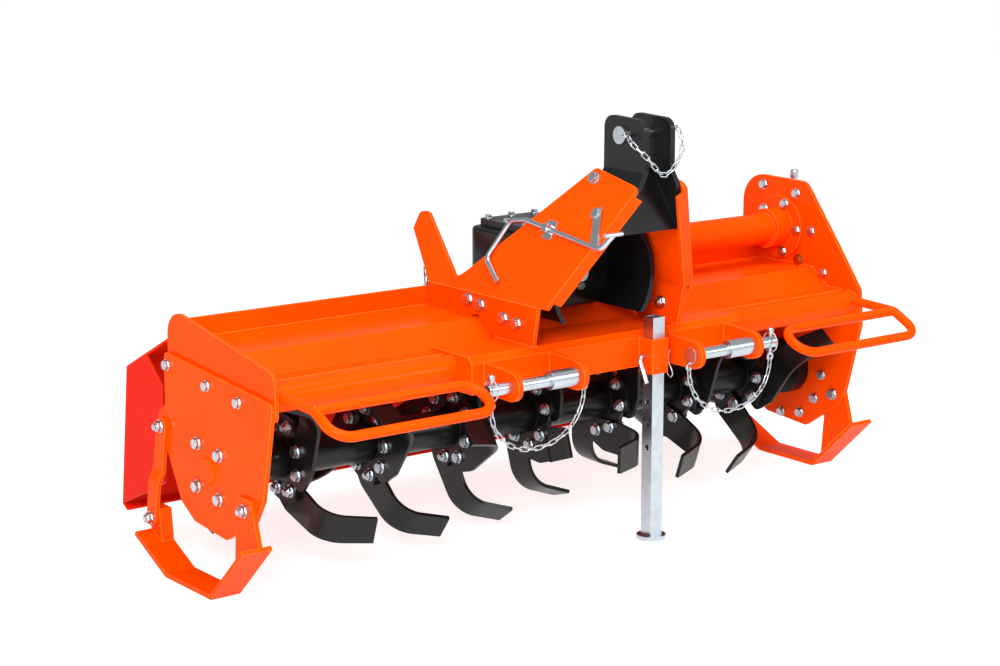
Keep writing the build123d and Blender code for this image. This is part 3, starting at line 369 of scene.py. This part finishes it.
def frames(axes: np.ndarray, spin: float = 0.0) -> np.ndarray:
    """Matrices whose own Z runs along each axis.

    Args:
        axes: One unit vector for each matrix.
        spin: Turn about the axis, in radians.

    Returns:
        One matrix of three rows for each axis.
    """
    helper = np.where(np.abs(axes[:, 2:]) > 0.9, BACK, UP)
    first = unit(np.cross(helper, axes))
    second = np.cross(axes, first)
    turned_first = first * math.cos(spin) + second * math.sin(spin)
    return np.stack([turned_first, np.cross(axes, turned_first), axes], 1)


def mesh_object(name: str, surface: Surface) -> bpy.types.Object:
    """Put a surface into a new mesh object at the origin, smooth but for its sharp edges.

    Args:
        name: The object's name.
        surface: The points about the rotor's axis and the faces.

    Returns:
        The new object, linked to the scene.
    """
    same = surface.quads == np.roll(surface.quads, -1, axis=1)
    pinched = same.sum(1) == 1
    corners = surface.quads[pinched][~same[pinched]].reshape(-1, 3)
    faces = surface.quads[~same.any(1)].tolist() + corners.tolist()
    mesh = bpy.data.meshes.new(name)
    mesh.from_pydata(at(surface.points).tolist(), [], faces)
    mesh.polygons.foreach_set("use_smooth", np.ones(len(mesh.polygons), bool))
    mesh.set_sharp_from_angle(angle=SHARP)
    mesh.validate()
    mesh.update()
    made = bpy.data.objects.new(name, mesh)
    bpy.context.scene.collection.objects.link(made)
    return made


@dataclass
class Paintshop:
    """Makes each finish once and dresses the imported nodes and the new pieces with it."""

    made: dict[Coat, bpy.types.Material] = field(default_factory=dict)

    def coat(self, kind: Coat) -> bpy.types.Material:
        """Give the material of a finish, made at its first use.

        Args:
            kind: Which finish.

        Returns:
            The shared material.
        """
        if kind not in self.made:
            self.made[kind] = FINISHES[kind].material()
        return self.made[kind]

    def dress_nodes(self) -> None:
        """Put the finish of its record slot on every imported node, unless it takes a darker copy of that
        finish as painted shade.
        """
        for part in frame["record"]["subparts"]:
            node = frame["nodes"][part["node"]]
            kind = PAINTED_SHADE_NODES.get(part["node"], Coat(part["material_slot"]))
            node.data.materials.clear()
            node.data.materials.append(self.coat(kind))
            LOG.info("node %s takes %s", part["node"], FINISHES[kind].name)

    def add(self, name: str, surface: Surface, kind: Coat, body: Body, node: str | None = None) -> None:
        """Add a new piece to the scene, dressed and riding on its body.

        Args:
            name: The piece's name.
            surface: Its points about the rotor's axis and its faces.
            kind: Its finish.
            body: The body it moves with.
            node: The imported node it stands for, if any.
        """
        piece = mesh_object(name, surface)
        piece.data.materials.append(self.coat(kind))
        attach(piece, body.value)
        if node:
            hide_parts(node)
        LOG.info("piece %s: %d faces on %s", name, len(piece.data.polygons), body.value)


@dataclass(frozen=True)
class Hexagon:
    """Sizes of a hexagon fastener: half its width over flats, height, washer, thread and small edges."""

    apothem: float
    height: float
    washer: float
    thickness: float
    thread: float
    rim: float = 0.95
    collar: float = 0.86
    collar_height: float = 0.3
    bevel: float = 1.2
    chamfer: float = 0.8
    reach: float = 3.2
    turns: int = 24

    def across(self) -> np.ndarray:
        """Radius of the hexagon at each turn: apothem over the cosine of the turn from its flat's middle."""
        turn = np.linspace(0, 2 * np.pi, self.turns, endpoint=False)
        return self.apothem / np.cos((turn + np.pi / 6) % (np.pi / 3) - np.pi / 6)

    def stack(self, rows: Sequence[tuple[np.ndarray | float, np.ndarray | float]]) -> Surface:
        """Turn rows of radius and height, each one number or one for each turn, into a closed piece.

        Args:
            rows: Radius and height of each row, from the seat upwards.

        Returns:
            The turned surface.
        """
        grid = [[np.broadcast_to(value, (self.turns,)) for value in row] for row in rows]
        return turned(np.array([row[0] for row in grid]), np.array([row[1] for row in grid]))

    def head(self) -> Surface:
        """Washer and bolt head: a hexagon cut by a cone of thirty degrees at its top.

        Returns:
            The head, standing on z = 0.
        """
        hexagon, seat, top = self.across(), self.thickness, self.thickness + self.height
        rim = self.rim * self.apothem
        bevel = top - (hexagon - rim) * math.tan(math.radians(30))
        return self.stack([(0, 0), (self.washer, 0), (self.washer, seat), (hexagon, seat), (hexagon, bevel),
                           (rim, top), (0, top)])

    def nut(self) -> Surface:
        """Washer, locking nut with its round collar, and the end of the thread.

        Returns:
            The nut, standing on z = 0.
        """
        hexagon, seat, top = self.across(), self.thickness, self.thickness + self.height
        rim, collar = self.rim * self.apothem, self.collar * self.apothem
        end = top + self.collar_height * self.height
        tip = end + self.reach
        return self.stack([
            (0, 0), (self.washer, 0), (self.washer, seat), (hexagon, seat), (hexagon, top - self.bevel),
            (rim, top), (collar, top), (collar, end - self.chamfer), (0.8 * collar, end),
            (self.thread, end), (self.thread, tip - self.chamfer), (0.8 * self.thread, tip), (0, tip)])


class Size(Enum):
    """The fastener sizes on the machine."""

    M8 = Hexagon(6.5, 5.3, 8.5, 1.6, 4.0)
    M10 = Hexagon(8.0, 6.4, 10.5, 2.0, 5.0)
    M12 = Hexagon(9.0, 7.5, 12.0, 2.4, 6.0)


class Top(Enum):
    """What shows of a fastener."""

    HEAD = "head"
    NUT = "nut"


def fasteners(size: Size, top: Top, places: Sequence[Place], axes: Sequence[Place]) -> Surface:
    """Set bolt heads or nuts on a surface.

    Args:
        size: The fasteners' size.
        top: Heads or nuts.
        places: Where each one sits.
        axes: The direction each one faces, or one direction for all.

    Returns:
        All of them as one surface.
    """
    spots = np.asarray(places, float)
    facing = unit(np.broadcast_to(np.asarray(axes, float), spots.shape))
    single = size.value.head() if top is Top.HEAD else size.value.nut()
    return single.copies(spots, frames(facing, WRENCH_TURN))


def on_face(x: float, spots: Sequence[Spot]) -> list[Place]:
    """Places on an upright face across the machine at x."""
    return [(x, y, z) for y, z in spots]


def circle(centre: Spot, radius: float, count: int, start: float = 0.0) -> np.ndarray:
    """Even places round a circle: centre + r (cos t, sin t).

    Args:
        centre: The circle's middle.
        radius: Its radius.
        count: How many places.
        start: The first one's turn, in radians.

    Returns:
        One row of two numbers for each place.
    """
    turn = np.linspace(0, 2 * np.pi, count, endpoint=False) + start
    return np.array(centre) + radius * np.stack([np.cos(turn), np.sin(turn)], -1)


@dataclass
class PlateBolts:
    """Bolts of the end plates, the bearings, the skids and the gear case."""

    left_face: float = -720.0
    right_face: float = 702.0
    plate: float = 8.0
    liner: float = 6.0
    joint: tuple[Spot, ...] = ((138.0, 376.0), (-1.0, 363.0), (-106.5, 353.0))
    bearing: tuple[Spot, ...] = ((35.6, 253.0), (-39.0, 246.0), (40.0, 174.0), (-35.0, 166.0))
    skid: tuple[Spot, ...] = ((-131.0, 169.0),)
    strap_top: tuple[Spot, ...] = ((156.0, 261.0),)
    strap_low: tuple[Spot, ...] = ((188.0, 84.0),)
    case: tuple[Spot, ...] = ((88.0, 586.0), (-10.0, 577.0), (-55.0, 502.0), (-93.0, 420.0), (-94.0, 314.0),
                              (-98.0, 204.0), (-78.0, 150.0), (-37.0, 112.0), (18.0, 103.0), (68.0, 122.0))
    flange_bolts: int = 5
    flange_start: float = 0.66
    flange_circle: float = 53.5
    flange_face: float = 684.0

    def build(self, shop: Paintshop) -> None:
        """Add the bolts of both sides.

        Args:
            shop: Dresses the pieces.
        """
        inner_left = self.left_face + self.plate + self.liner
        inner_right = self.right_face - self.plate
        outside = [fasteners(Size.M10, Top.HEAD, on_face(self.left_face, self.joint), LEFT),
                   fasteners(Size.M10, Top.NUT, on_face(inner_left, self.joint), RIGHT),
                   fasteners(Size.M12, Top.HEAD, on_face(self.left_face, self.bearing), LEFT)]
        for face, plate, axis in ((self.left_face, -self.plate, LEFT), (self.right_face, self.plate, RIGHT)):
            for plates, spots in ((1, self.skid), (1, self.strap_top), (2, self.strap_low)):
                outside.append(fasteners(Size.M12, Top.NUT, on_face(face + plates * plate, spots), axis))
        shop.add("plate_bolts", joined(outside), Coat.ZINC, Body.FRAME)
        flange = circle(DRIVE_AXIS, self.flange_circle, self.flange_bolts, self.flange_start)
        inside = [fasteners(Size.M10, Top.HEAD, on_face(inner_right, self.case), LEFT),
                  fasteners(Size.M10, Top.HEAD, on_face(self.flange_face, flange), LEFT),
                  fasteners(Size.M12, Top.HEAD, on_face(inner_right, self.skid), LEFT)]
        shop.add("case_bolts", joined(inside), Coat.ZINC, Body.FRAME)


@dataclass
class HitchBolts:
    """Bolts of the headstock, the clevis, the gearbox and its cover."""

    foot_x: float = 178.0
    foot: tuple[Spot, ...] = ((-35.0, 458.0), (-72.0, 453.0), (-142.0, 439.0), (-181.0, 435.0))
    bend_z: float = 470.0
    lean: float = 0.544
    plate: float = 8.0
    high: tuple[Spot, ...] = ((-251.0, 697.0), (-296.0, 640.0))
    cover_z: float = 586.0
    cover_x: tuple[float, ...] = (-56.0, 0.0, 56.0)
    cover_y: tuple[float, ...] = (-51.0, 67.0)
    box_foot: tuple[Place, ...] = ((-94.0, -56.0, 440.0), (-94.0, 72.0, 440.0), (94.0, -56.0, 440.0),
                                   (94.0, 72.0, 440.0))
    nose_y: float = -84.0
    nose_circle: float = 62.0
    nose_bolts: int = 6
    nose_start: float = 0.4

    def leaning(self, sign: int, outer: bool) -> Surface:
        """Heads outside or nuts inside a leaning plate.

        Args:
            sign: -1 on the left, 1 on the right.
            outer: On the outer face, else on the inner one.

        Returns:
            The fasteners on that face.
        """
        stretch = math.hypot(1.0, self.lean)
        shift = self.foot_x - self.plate + (self.plate * stretch if outer else 0.0)
        way = 1 if outer else -1
        places = [(sign * (shift - (z - self.bend_z) * self.lean), y, z) for y, z in self.high]
        return fasteners(Size.M12, Top.HEAD if outer else Top.NUT, places, (way * sign, 0.0, way * self.lean))

    def build(self, shop: Paintshop) -> None:
        """Add the bolts of the headstock and the gearbox.

        Args:
            shop: Dresses the pieces.
        """
        groups = []
        for sign in (-1, 1):
            outer, inner = sign * self.foot_x, sign * (self.foot_x - self.plate)
            groups += [fasteners(Size.M12, Top.HEAD, on_face(outer, self.foot), (sign, 0.0, 0.0)),
                       fasteners(Size.M12, Top.NUT, on_face(inner, self.foot), (-sign, 0.0, 0.0)),
                       self.leaning(sign, True), self.leaning(sign, False)]
        shop.add("headstock_bolts", joined(groups), Coat.ZINC, Body.FRAME)
        lid = [(x, y, self.cover_z) for x in self.cover_x for y in self.cover_y]
        lid += [(x, sum(self.cover_y) / 2, self.cover_z) for x in self.cover_x if x]
        nose = circle(INPUT_AXIS, self.nose_circle, self.nose_bolts, self.nose_start)
        tops = [fasteners(Size.M8, Top.HEAD, lid, UP), fasteners(Size.M12, Top.HEAD, self.box_foot, UP),
                fasteners(Size.M8, Top.HEAD, [(x, self.nose_y, z) for x, z in nose], FRONT)]
        shop.add("gearbox_bolts", joined(tops), Coat.ZINC, Body.FRAME)


@dataclass
class TineBolts:
    """Two bolts through each tine, its flange and their nuts."""

    tines: int = 4
    start: float = -162.0
    step: float = 18.3
    seats: tuple[Spot, ...] = ((62.0, 0.0), (47.5, 40.0))
    flange_half: float = 5.0
    tine: float = 7.0

    def build(self, shop: Paintshop) -> None:
        """Add the tine bolts, turned with each flange.

        Args:
            shop: Dresses the pieces.
        """
        flange, quarter, seat = np.meshgrid(np.arange(len(FLANGE_X)), np.arange(self.tines),
                                            np.arange(len(self.seats)), indexing="ij")
        angle = np.radians(self.start + self.step * flange + 360 / self.tines * quarter)
        along, over = np.array(self.seats).T[:, seat]
        sign = np.where(quarter % 2 == 0, 1.0, -1.0)
        y = over * np.cos(angle) - along * np.sin(angle)
        z = AXIS_Z + over * np.sin(angle) + along * np.cos(angle)
        x = np.array(FLANGE_X)[flange]
        axes = np.stack([sign, 0 * sign, 0 * sign], -1).reshape(-1, 3)
        on_tine = np.stack([x + sign * (self.flange_half + self.tine), y, z], -1).reshape(-1, 3)
        on_flange = np.stack([x - sign * self.flange_half, y, z], -1).reshape(-1, 3)
        bolts = [fasteners(Size.M12, Top.HEAD, on_tine, axes),
                 fasteners(Size.M12, Top.NUT, on_flange, -axes)]
        shop.add("tine_bolts", joined(bolts), Coat.ZINC, Body.ROTOR)


def bezier(corners: Sequence[Place], steps: int = 400) -> np.ndarray:
    """Points along a Bezier curve of four corners: the Bernstein sum of the corners.

    Args:
        corners: Start, two pulls and end.
        steps: How many points.

    Returns:
        One row of x, y, z for each point.
    """
    share = np.linspace(0, 1, steps)[:, None]
    weights = [(1 - share) ** 3, 3 * share * (1 - share) ** 2, 3 * share ** 2 * (1 - share), share ** 3]
    return sum(weight * np.asarray(corner, float) for weight, corner in zip(weights, corners))


def spline(knots: Sequence[Place], start: Place, end: Place, steps: int = 400) -> np.ndarray:
    """Points along a cubic Hermite curve through knots, its slopes from the knots on either side.

    Args:
        knots: The places it passes.
        start: Its direction at the first knot.
        end: Its direction at the last one.
        steps: How many points.

    Returns:
        One row of x, y, z for each point.
    """
    knots = np.asarray(knots, float)
    reach = np.concatenate([[0.0], np.cumsum(np.linalg.norm(np.diff(knots, axis=0), axis=1))])
    slope = np.gradient(knots, reach, axis=0)
    slope[0], slope[-1] = unit(np.array(start, float)), unit(np.array(end, float))
    where = np.linspace(0, reach[-1], steps)
    index = np.clip(np.searchsorted(reach, where, side="right") - 1, 0, len(knots) - 2)
    span = (reach[index + 1] - reach[index])[:, None]
    t = (where - reach[index])[:, None] / span
    return ((2 * t ** 3 - 3 * t ** 2 + 1) * knots[index] + (t ** 3 - 2 * t ** 2 + t) * span * slope[index]
            + (3 * t ** 2 - 2 * t ** 3) * knots[index + 1] + (t ** 3 - t ** 2) * span * slope[index + 1])


@dataclass(frozen=True)
class Chain:
    """A chain of long round-ended links along a curve, every second one turned on edge."""

    name: str
    node: str
    body: Body
    route: np.ndarray
    flat: Place
    pitch: float
    wire: float
    slack: float = 1.7
    play: float = 3.0
    stations: int = 24
    sides: int = 10

    def link(self, inner: float) -> Surface:
        """One link as a wire round a stadium: x = R cos t + s sign(cos t), y = R sin t, in its own plane.

        Args:
            inner: The link's length inside.

        Returns:
            The link with its length along X, lying flat in XY.
        """
        turn = np.linspace(0, 2 * np.pi, self.stations, endpoint=False)
        bend = (2 * self.wire + self.play) / 2
        straight = (inner + self.wire) / 2 - bend
        path = np.stack([bend * np.cos(turn) + straight * np.sign(np.round(np.cos(turn), 6)),
                         bend * np.sin(turn), 0 * turn], -1)
        return tube(path, UP, self.wire / 2, self.sides, True)

    def build(self, shop: Paintshop) -> None:
        """Set the links at equal lengths along the curve.

        Args:
            shop: Dresses the piece.
        """
        reach = np.concatenate([[0.0], np.cumsum(np.linalg.norm(np.diff(self.route, axis=0), axis=1))])
        count = 2 * math.ceil((reach[-1] / self.pitch - 1) / 2) + 1
        middles = (np.arange(count) + 0.5) * reach[-1] / count
        slope = np.gradient(self.route, reach, axis=0)
        places = np.stack([np.interp(middles, reach, self.route[:, k]) for k in range(3)], 1)
        along = unit(np.stack([np.interp(middles, reach, slope[:, k]) for k in range(3)], 1))
        level = unit(np.cross(np.broadcast_to(self.flat, along.shape), along))
        upright = np.cross(along, level)
        odd = (np.arange(count) % 2 == 1)[:, None]
        second = np.where(odd, level, upright)
        turns = np.stack([along, second, np.cross(along, second)], 1)
        links = self.link(reach[-1] / count + self.slack).copies(places, turns)
        shop.add(self.name, links, Coat.ZINC, self.body, self.node)


@dataclass
class Chains:
    """The chains of the hitch pins, the top-link pin and the tailboard."""

    pin_y: float = -309.0
    head_x: float = 126.5
    head_z: float = 336.8
    linch_x: float = 334.0
    linch_z: float = 328.8
    seat: float = 3.4
    sag: float = 125.0
    pin_pitch: float = 17.0
    pin_wire: float = 2.3
    top: tuple[Place, ...] = ((-44.5, -323.6, 779.0), (-53.0, -346.0, 770.0), (-39.0, -369.0, 747.0),
                              (0.0, -374.0, 713.0), (45.0, -369.0, 749.0), (60.0, -344.0, 785.0),
                              (52.0, -314.6, 801.0))
    top_pitch: float = 14.0
    top_wire: float = 2.2
    tail: Spot = (-105.0, 205.0)
    tail_upper: Spot = (574.6, 513.0)
    tail_lower: Spot = (409.0, 497.0)
    tail_pitch: float = 19.0
    tail_wire: float = 3.2

    def straight(self, ends: Spot) -> np.ndarray:
        """An upright run of the tailboard's chain between two heights."""
        return np.linspace((*self.tail, ends[0]), (*self.tail, ends[1]), 50)

    def hanging(self, sign: int) -> np.ndarray:
        """The slack run under a hitch pin.

        Args:
            sign: -1 on the left, 1 on the right.

        Returns:
            Points from the pin's head to its linch pin.
        """
        head, linch = sign * self.head_x, sign * self.linch_x
        return bezier([(head, self.pin_y, self.head_z - self.seat),
                       (head, self.pin_y, self.head_z - self.sag),
                       (linch, self.pin_y, self.linch_z - self.sag),
                       (linch, self.pin_y, self.linch_z - self.seat)])

    def build(self, shop: Paintshop) -> None:
        """Add every chain in place of its packed links.

        Args:
            shop: Dresses the pieces.
        """
        for side, sign in (("left", -1), ("right", 1)):
            Chain(f"{side}_pin_links", f"{side}_pin_chain", Body.FRAME, self.hanging(sign), BACK,
                  self.pin_pitch, self.pin_wire).build(shop)
        Chain("top_pin_links", "top_pin_chain", Body.FRAME, spline(self.top, FRONT, BACK), UP,
              self.top_pitch, self.top_wire).build(shop)
        Chain("tail_links", "tail_chain", Body.FRAME, self.straight(self.tail_upper), BACK,
              self.tail_pitch, self.tail_wire).build(shop)
        Chain("tailboard_links", "tailboard_chain", Body.TAILBOARD, self.straight(self.tail_lower), BACK,
              self.tail_pitch, self.tail_wire).build(shop)


@dataclass
class Wires:
    """Bent wires: a hoop on each linch pin and the spring clip on the stand's lock pin."""

    linch: tuple[Place, ...] = ((-334.0, -309.0, 357.0), (334.0, -309.0, 357.0), (52.0, -300.0, 779.0))
    hoop: float = 19.0
    wire: float = 1.3
    clip_x: float = 117.0
    clip: tuple[Spot, ...] = ((-253.0, 372.0), (-253.0, 356.0), (-255.0, 330.0), (-260.0, 316.0),
                              (-268.0, 311.0), (-274.0, 318.0), (-270.0, 328.0), (-263.0, 338.0),
                              (-262.0, 352.0), (-266.0, 364.0))
    clip_end: Place = (0.0, -0.3, 1.0)
    sides: int = 10
    hoop_stations: int = 48
    clip_stations: int = 80

    def build(self, shop: Paintshop) -> None:
        """Add the hoops and the clip.

        Args:
            shop: Dresses the pieces.
        """
        ring = np.insert(circle((0.0, 0.0), self.hoop, self.hoop_stations), 0, 0.0, axis=1)
        hoops = [tube(ring + np.array(centre), RIGHT, self.wire, self.sides, True) for centre in self.linch]
        shop.add("linch_hoops", joined(hoops), Coat.ZINC, Body.FRAME)
        bent = spline(on_face(self.clip_x, self.clip), DOWN, self.clip_end, self.clip_stations)
        shop.add("stand_clip", tube(bent, RIGHT, self.wire, self.sides, False), Coat.ZINC, Body.FRAME)


@dataclass
class InputShaft:
    """The splined end of the input shaft, in place of the plain one."""

    root_y: float = -98.0
    end_y: float = -150.0
    tip: float = 17.45
    root: float = 14.6
    splines: int = 6
    steepness: float = 3.0
    groove: float = 2.2
    groove_back: float = 19.0
    groove_half: float = 3.0
    groove_slope: float = 2.0
    chamfer: float = 3.0
    hole_radius: float = 4.0
    hole_depth: float = 5.0
    turns: int = 144

    def build(self, shop: Paintshop) -> None:
        """Turn the shaft with its radius stepped between root and tip by a steep wave of the turn.

        Args:
            shop: Dresses the piece.
        """
        turn = np.linspace(0, 2 * np.pi, self.turns, endpoint=False)
        wave = np.clip(0.5 + self.steepness * np.cos(self.splines * turn), 0, 1)
        tooth = self.root + (self.tip - self.root) * wave
        neck = np.minimum(tooth, self.tip - self.groove)
        length = self.root_y - self.end_y
        lock, wide = length - self.groove_back, self.groove_half + self.groove_slope
        rows = [(0 * turn, 0.0), (tooth, 0.0), (tooth, lock - wide), (neck, lock - self.groove_half),
                (neck, lock + self.groove_half), (tooth, lock + wide), (tooth, length - self.chamfer),
                (np.minimum(tooth, self.root), length), (0 * turn + self.hole_radius, length),
                (0 * turn, length - self.hole_depth)]
        shaft = turned(np.array([row[0] for row in rows]), np.array([0 * turn + row[1] for row in rows]))
        base = np.array([(INPUT_AXIS[0], self.root_y, INPUT_AXIS[1])])
        shop.add("splined_shaft", shaft.copies(base, frames(np.array([FRONT]))), Coat.STEEL, Body.FRAME,
                 "pto_shaft")


@dataclass
class CaseFittings:
    """Brass base under the breather and the level plug on the right plate."""

    breather: Place = (727.0, 32.0, 577.0)
    plug: Place = (694.0, -21.0, 438.0)
    base: Hexagon = Hexagon(9.6, 7.0, 11.0, 2.5, 6.0)
    cap: Hexagon = Hexagon(9.0, 5.0, 13.0, 3.0, 6.0)

    def build(self, shop: Paintshop) -> None:
        """Add the two fittings.

        Args:
            shop: Dresses the pieces.
        """
        for name, shape, place, axis in (("breather_base", self.base, self.breather, UP),
                                         ("level_plug", self.cap, self.plug, LEFT)):
            fitting = shape.head().copies(np.array([place]), frames(np.array([axis])))
            shop.add(name, fitting, Coat.BRASS, Body.FRAME)


@dataclass
class Welds:
    """Rippled weld beads where plates, tubes and flanges meet."""

    ripple_mm: float = 5.0
    depth: float = 0.14
    beam_front: float = -234.0
    lug_faces: tuple[float, ...] = (135.0, 145.0, 283.0, 293.0)
    lug_z: Spot = (335.0, 385.0)
    sleeve_x: tuple[float, ...] = (69.0, 107.0)
    foot_faces: tuple[float, ...] = (170.0, 178.0)
    foot_run: tuple[Spot, ...] = ((-228.0, 399.0), (-114.0, 399.0))
    hood_ends: Spot = (-705.0, 693.0)
    hood_run: tuple[Spot, ...] = ((-148.0, 394.0), (-108.0, 394.0), (-62.0, 429.0), (96.0, 429.0))
    hood_front: Spot = (-151.0, 388.5)
    beam_half: float = 321.0
    tube_at: Spot = (-170.0, 369.0)
    tube_radius: float = 26.0
    drive_rings: tuple[Spot, ...] = ((642.0, 32.5), (684.0, 41.5))
    flange_half: float = 5.5
    shaft_radius: float = 35.5
    plate_bead: float = 2.4
    sleeve_bead: float = 2.2
    foot_bead: float = 2.6
    front_bead: float = 3.4
    shaft_bead: float = 2.6
    line_step: float = 1.6
    ring_step: float = 1.8
    sides: int = 8

    def bead(self, path: np.ndarray, across: Sequence[float], size: float, closed: bool = False) -> Surface:
        """A bead along a flat path: a tube whose radius ripples with the length run.

        Args:
            path: Stations of the bead.
            across: The unit vector square to the path's plane.
            size: Its mean radius.
            closed: The path is a ring.

        Returns:
            The bead's surface.
        """
        run = np.concatenate([[0.0], np.cumsum(np.linalg.norm(np.diff(path, axis=0), axis=1))])
        radius = size * (1 + self.depth * np.sin(2 * np.pi * run / self.ripple_mm))
        return tube(path, across, radius, self.sides, closed)

    def line(self, start: Place, end: Place, size: float) -> Surface:
        """A straight bead between two places.

        Args:
            start: Its first end.
            end: Its second end.
            size: Its mean radius.

        Returns:
            The bead's surface.
        """
        span = np.asarray(end, float) - np.asarray(start, float)
        length = np.linalg.norm(span)
        helper = RIGHT if abs(span[0]) < 0.5 * length else UP
        stations = max(8, int(length / self.line_step))
        return self.bead(np.linspace(start, end, stations), unit(np.cross(span, helper)), size)

    def ring(self, x: float, centre: Spot, radius: float, size: float) -> Surface:
        """A bead round a tube that runs along X.

        Args:
            x: Where along the tube.
            centre: The tube's middle.
            radius: The tube's radius.
            size: The bead's mean radius.

        Returns:
            The ring's surface.
        """
        stations = int(2 * np.pi * radius / self.ring_step)
        path = np.insert(circle(centre, radius, stations), 0, x, axis=1)
        return self.bead(path, RIGHT, size, True)

    def build(self, shop: Paintshop) -> None:
        """Add the beads of the frame and of the rotor.

        Args:
            shop: Dresses the pieces.
        """
        lugs = [sign * x for sign in (-1, 1) for x in self.lug_faces]
        feet = [sign * x for sign in (-1, 1) for x in self.foot_faces]
        low, high = ((self.beam_front, z) for z in self.lug_z)
        beads = [self.line((x, *low), (x, *high), self.plate_bead) for x in lugs]
        beads += [self.line((x, *low), (x, *high), self.sleeve_bead) for x in self.sleeve_x]
        beads += [self.line((x, *self.foot_run[0]), (x, *self.foot_run[1]), self.foot_bead) for x in feet]
        for x in self.hood_ends:
            beads += [self.line((x, *start), (x, *end), self.plate_bead)
                      for start, end in zip(self.hood_run, self.hood_run[1:])]
            beam_end = math.copysign(self.beam_half, x)
            beads.append(self.line((x, *self.hood_front), (beam_end, *self.hood_front), self.front_bead))
            beads.append(self.ring(x, self.tube_at, self.tube_radius, self.plate_bead))
        beads += [self.ring(x, DRIVE_AXIS, radius, self.plate_bead) for x, radius in self.drive_rings]
        shop.add("frame_welds", joined(beads), Coat.ORANGE, Body.FRAME)
        rings = [self.ring(x + side, (0.0, AXIS_Z), self.shaft_radius, self.shaft_bead)
                 for x in FLANGE_X for side in (-self.flange_half, self.flange_half)]
        shop.add("rotor_welds", joined(rings), Coat.BLACK, Body.ROTOR)


def looking(place: Sequence[float], back: Sequence[float]) -> Matrix:
    """Give the matrix of something at a place whose own +Z points backwards along a direction.

    Args:
        place: Where it is, in metres.
        back: The direction behind it.

    Returns:
        A four by four matrix with its own +X level.
    """
    back = unit(np.asarray(back, float))
    right = unit(np.cross(UP, back))
    matrix = np.eye(4)
    matrix[:3, :3] = np.stack([right, np.cross(back, right), back], 1)
    matrix[:3, 3] = place
    return Matrix(matrix.tolist())


@dataclass(frozen=True)
class Softbox:
    """A square soft light that faces the machine: its place and side in metres, and its power in watts."""

    name: str
    place: Place
    side: float
    power: float
    aim: Place = (0.0, 0.0, 0.3)

    def hang(self) -> None:
        """Make the light and turn it to the machine."""
        lamp = bpy.data.lights.new(self.name, "AREA")
        lamp.shape = "SQUARE"
        lamp.size = self.side
        lamp.energy = self.power
        holder = bpy.data.objects.new(self.name, lamp)
        holder.matrix_world = looking(self.place, np.subtract(self.place, self.aim))
        bpy.context.scene.collection.objects.link(holder)


@dataclass
class Studio:
    """Pale floor, soft light and the camera at the photograph's angle."""

    eye_mm: Place = (-2597.0, -3297.0, 1243.5)
    yaw: float = -37.37
    pitch: float = -11.82
    lens_mm: float = 80.06
    sensor_mm: float = 36.0
    sight: float = 100.0
    floor_half: float = 40.0
    paper: str = "#ACACAC"
    paper_roughness: float = 0.7
    glow: float = 0.8
    air: float = 0.42
    lamps: tuple[Softbox, ...] = (Softbox("key_softbox", (-2.3, -2.2, 1.9), 1.3, 118.0),
                                  Softbox("top_softbox", (0.4, -0.9, 4.2), 2.2, 140.0),
                                  Softbox("side_softbox", (3.0, -4.0, 2.4), 1.6, 55.0))

    def floor(self) -> None:
        """Lay a wide pale floor as a grid of two parameters on the plane z = 0."""
        run = np.linspace(-self.floor_half, self.floor_half, 3)
        across, along = np.meshgrid(run, run, indexing="ij")
        points = np.stack([across, along, np.zeros_like(across)], -1).reshape(-1, 3)
        ground = mesh_object("studio_floor", Surface(points / MM, grid_quads(3, 3)[:, ::-1]))
        # White paper lit from behind, as on a light table: it stays white up to the horizon
        paper = bpy.data.materials.new("studio_paper")
        paper.use_nodes = True
        shader = paper.node_tree.nodes["Principled BSDF"]
        shader.inputs["Base Color"].default_value = linear(self.paper)
        shader.inputs["Roughness"].default_value = self.paper_roughness
        shader.inputs["Emission Color"].default_value = WHITE
        shader.inputs["Emission Strength"].default_value = self.glow
        ground.data.materials.append(paper)

    def light(self) -> None:
        """Light the scene from all round, with softboxes at the front left, above and at the front right."""
        world = bpy.data.worlds.new("studio_air")
        world.use_nodes = True
        tree = world.node_tree
        sky = tree.nodes["Background"]
        sky.inputs["Color"].default_value = WHITE
        # The air lights the machine softly and still shows as plain white behind it
        seen = add_node(tree, "ShaderNodeLightPath").outputs["Is Camera Ray"]
        level = add_node(tree, "ShaderNodeMapRange", {"Value": seen, "To Min": self.air, "To Max": 1.0})
        tree.links.new(level.outputs["Result"], sky.inputs["Strength"])
        bpy.context.scene.world = world
        for lamp in self.lamps:
            lamp.hang()
        bpy.context.scene.view_settings.view_transform = "Standard"

    def camera(self) -> None:
        """Set the camera where the photograph was taken from."""
        lens = bpy.data.cameras.new("photo_camera")
        lens.sensor_width = self.sensor_mm
        lens.lens = self.lens_mm
        lens.clip_end = self.sight
        holder = bpy.data.objects.new("photo_camera", lens)
        yaw, pitch = math.radians(self.yaw), math.radians(self.pitch)
        level = math.cos(pitch)
        ahead = np.array([-math.sin(yaw) * level, math.cos(yaw) * level, math.sin(pitch)])
        holder.matrix_world = looking(at(self.eye_mm), -ahead)
        bpy.context.scene.collection.objects.link(holder)
        bpy.context.scene.camera = holder

    def build(self) -> None:
        """Set up floor, light and camera."""
        self.floor()
        self.light()
        self.camera()


def main() -> None:
    """Dress the frame, add the pieces that the frame leaves to the looks, and set the studio."""
    logging.basicConfig(level=logging.INFO, format="%(name)s %(message)s")
    shop = Paintshop()
    shop.dress_nodes()
    for group in (PlateBolts(), HitchBolts(), TineBolts(), Chains(), Wires(), InputShaft(), CaseFittings(),
                  Welds()):
        group.build(shop)
    Studio().build()


if __name__ == "__main__":
    main()
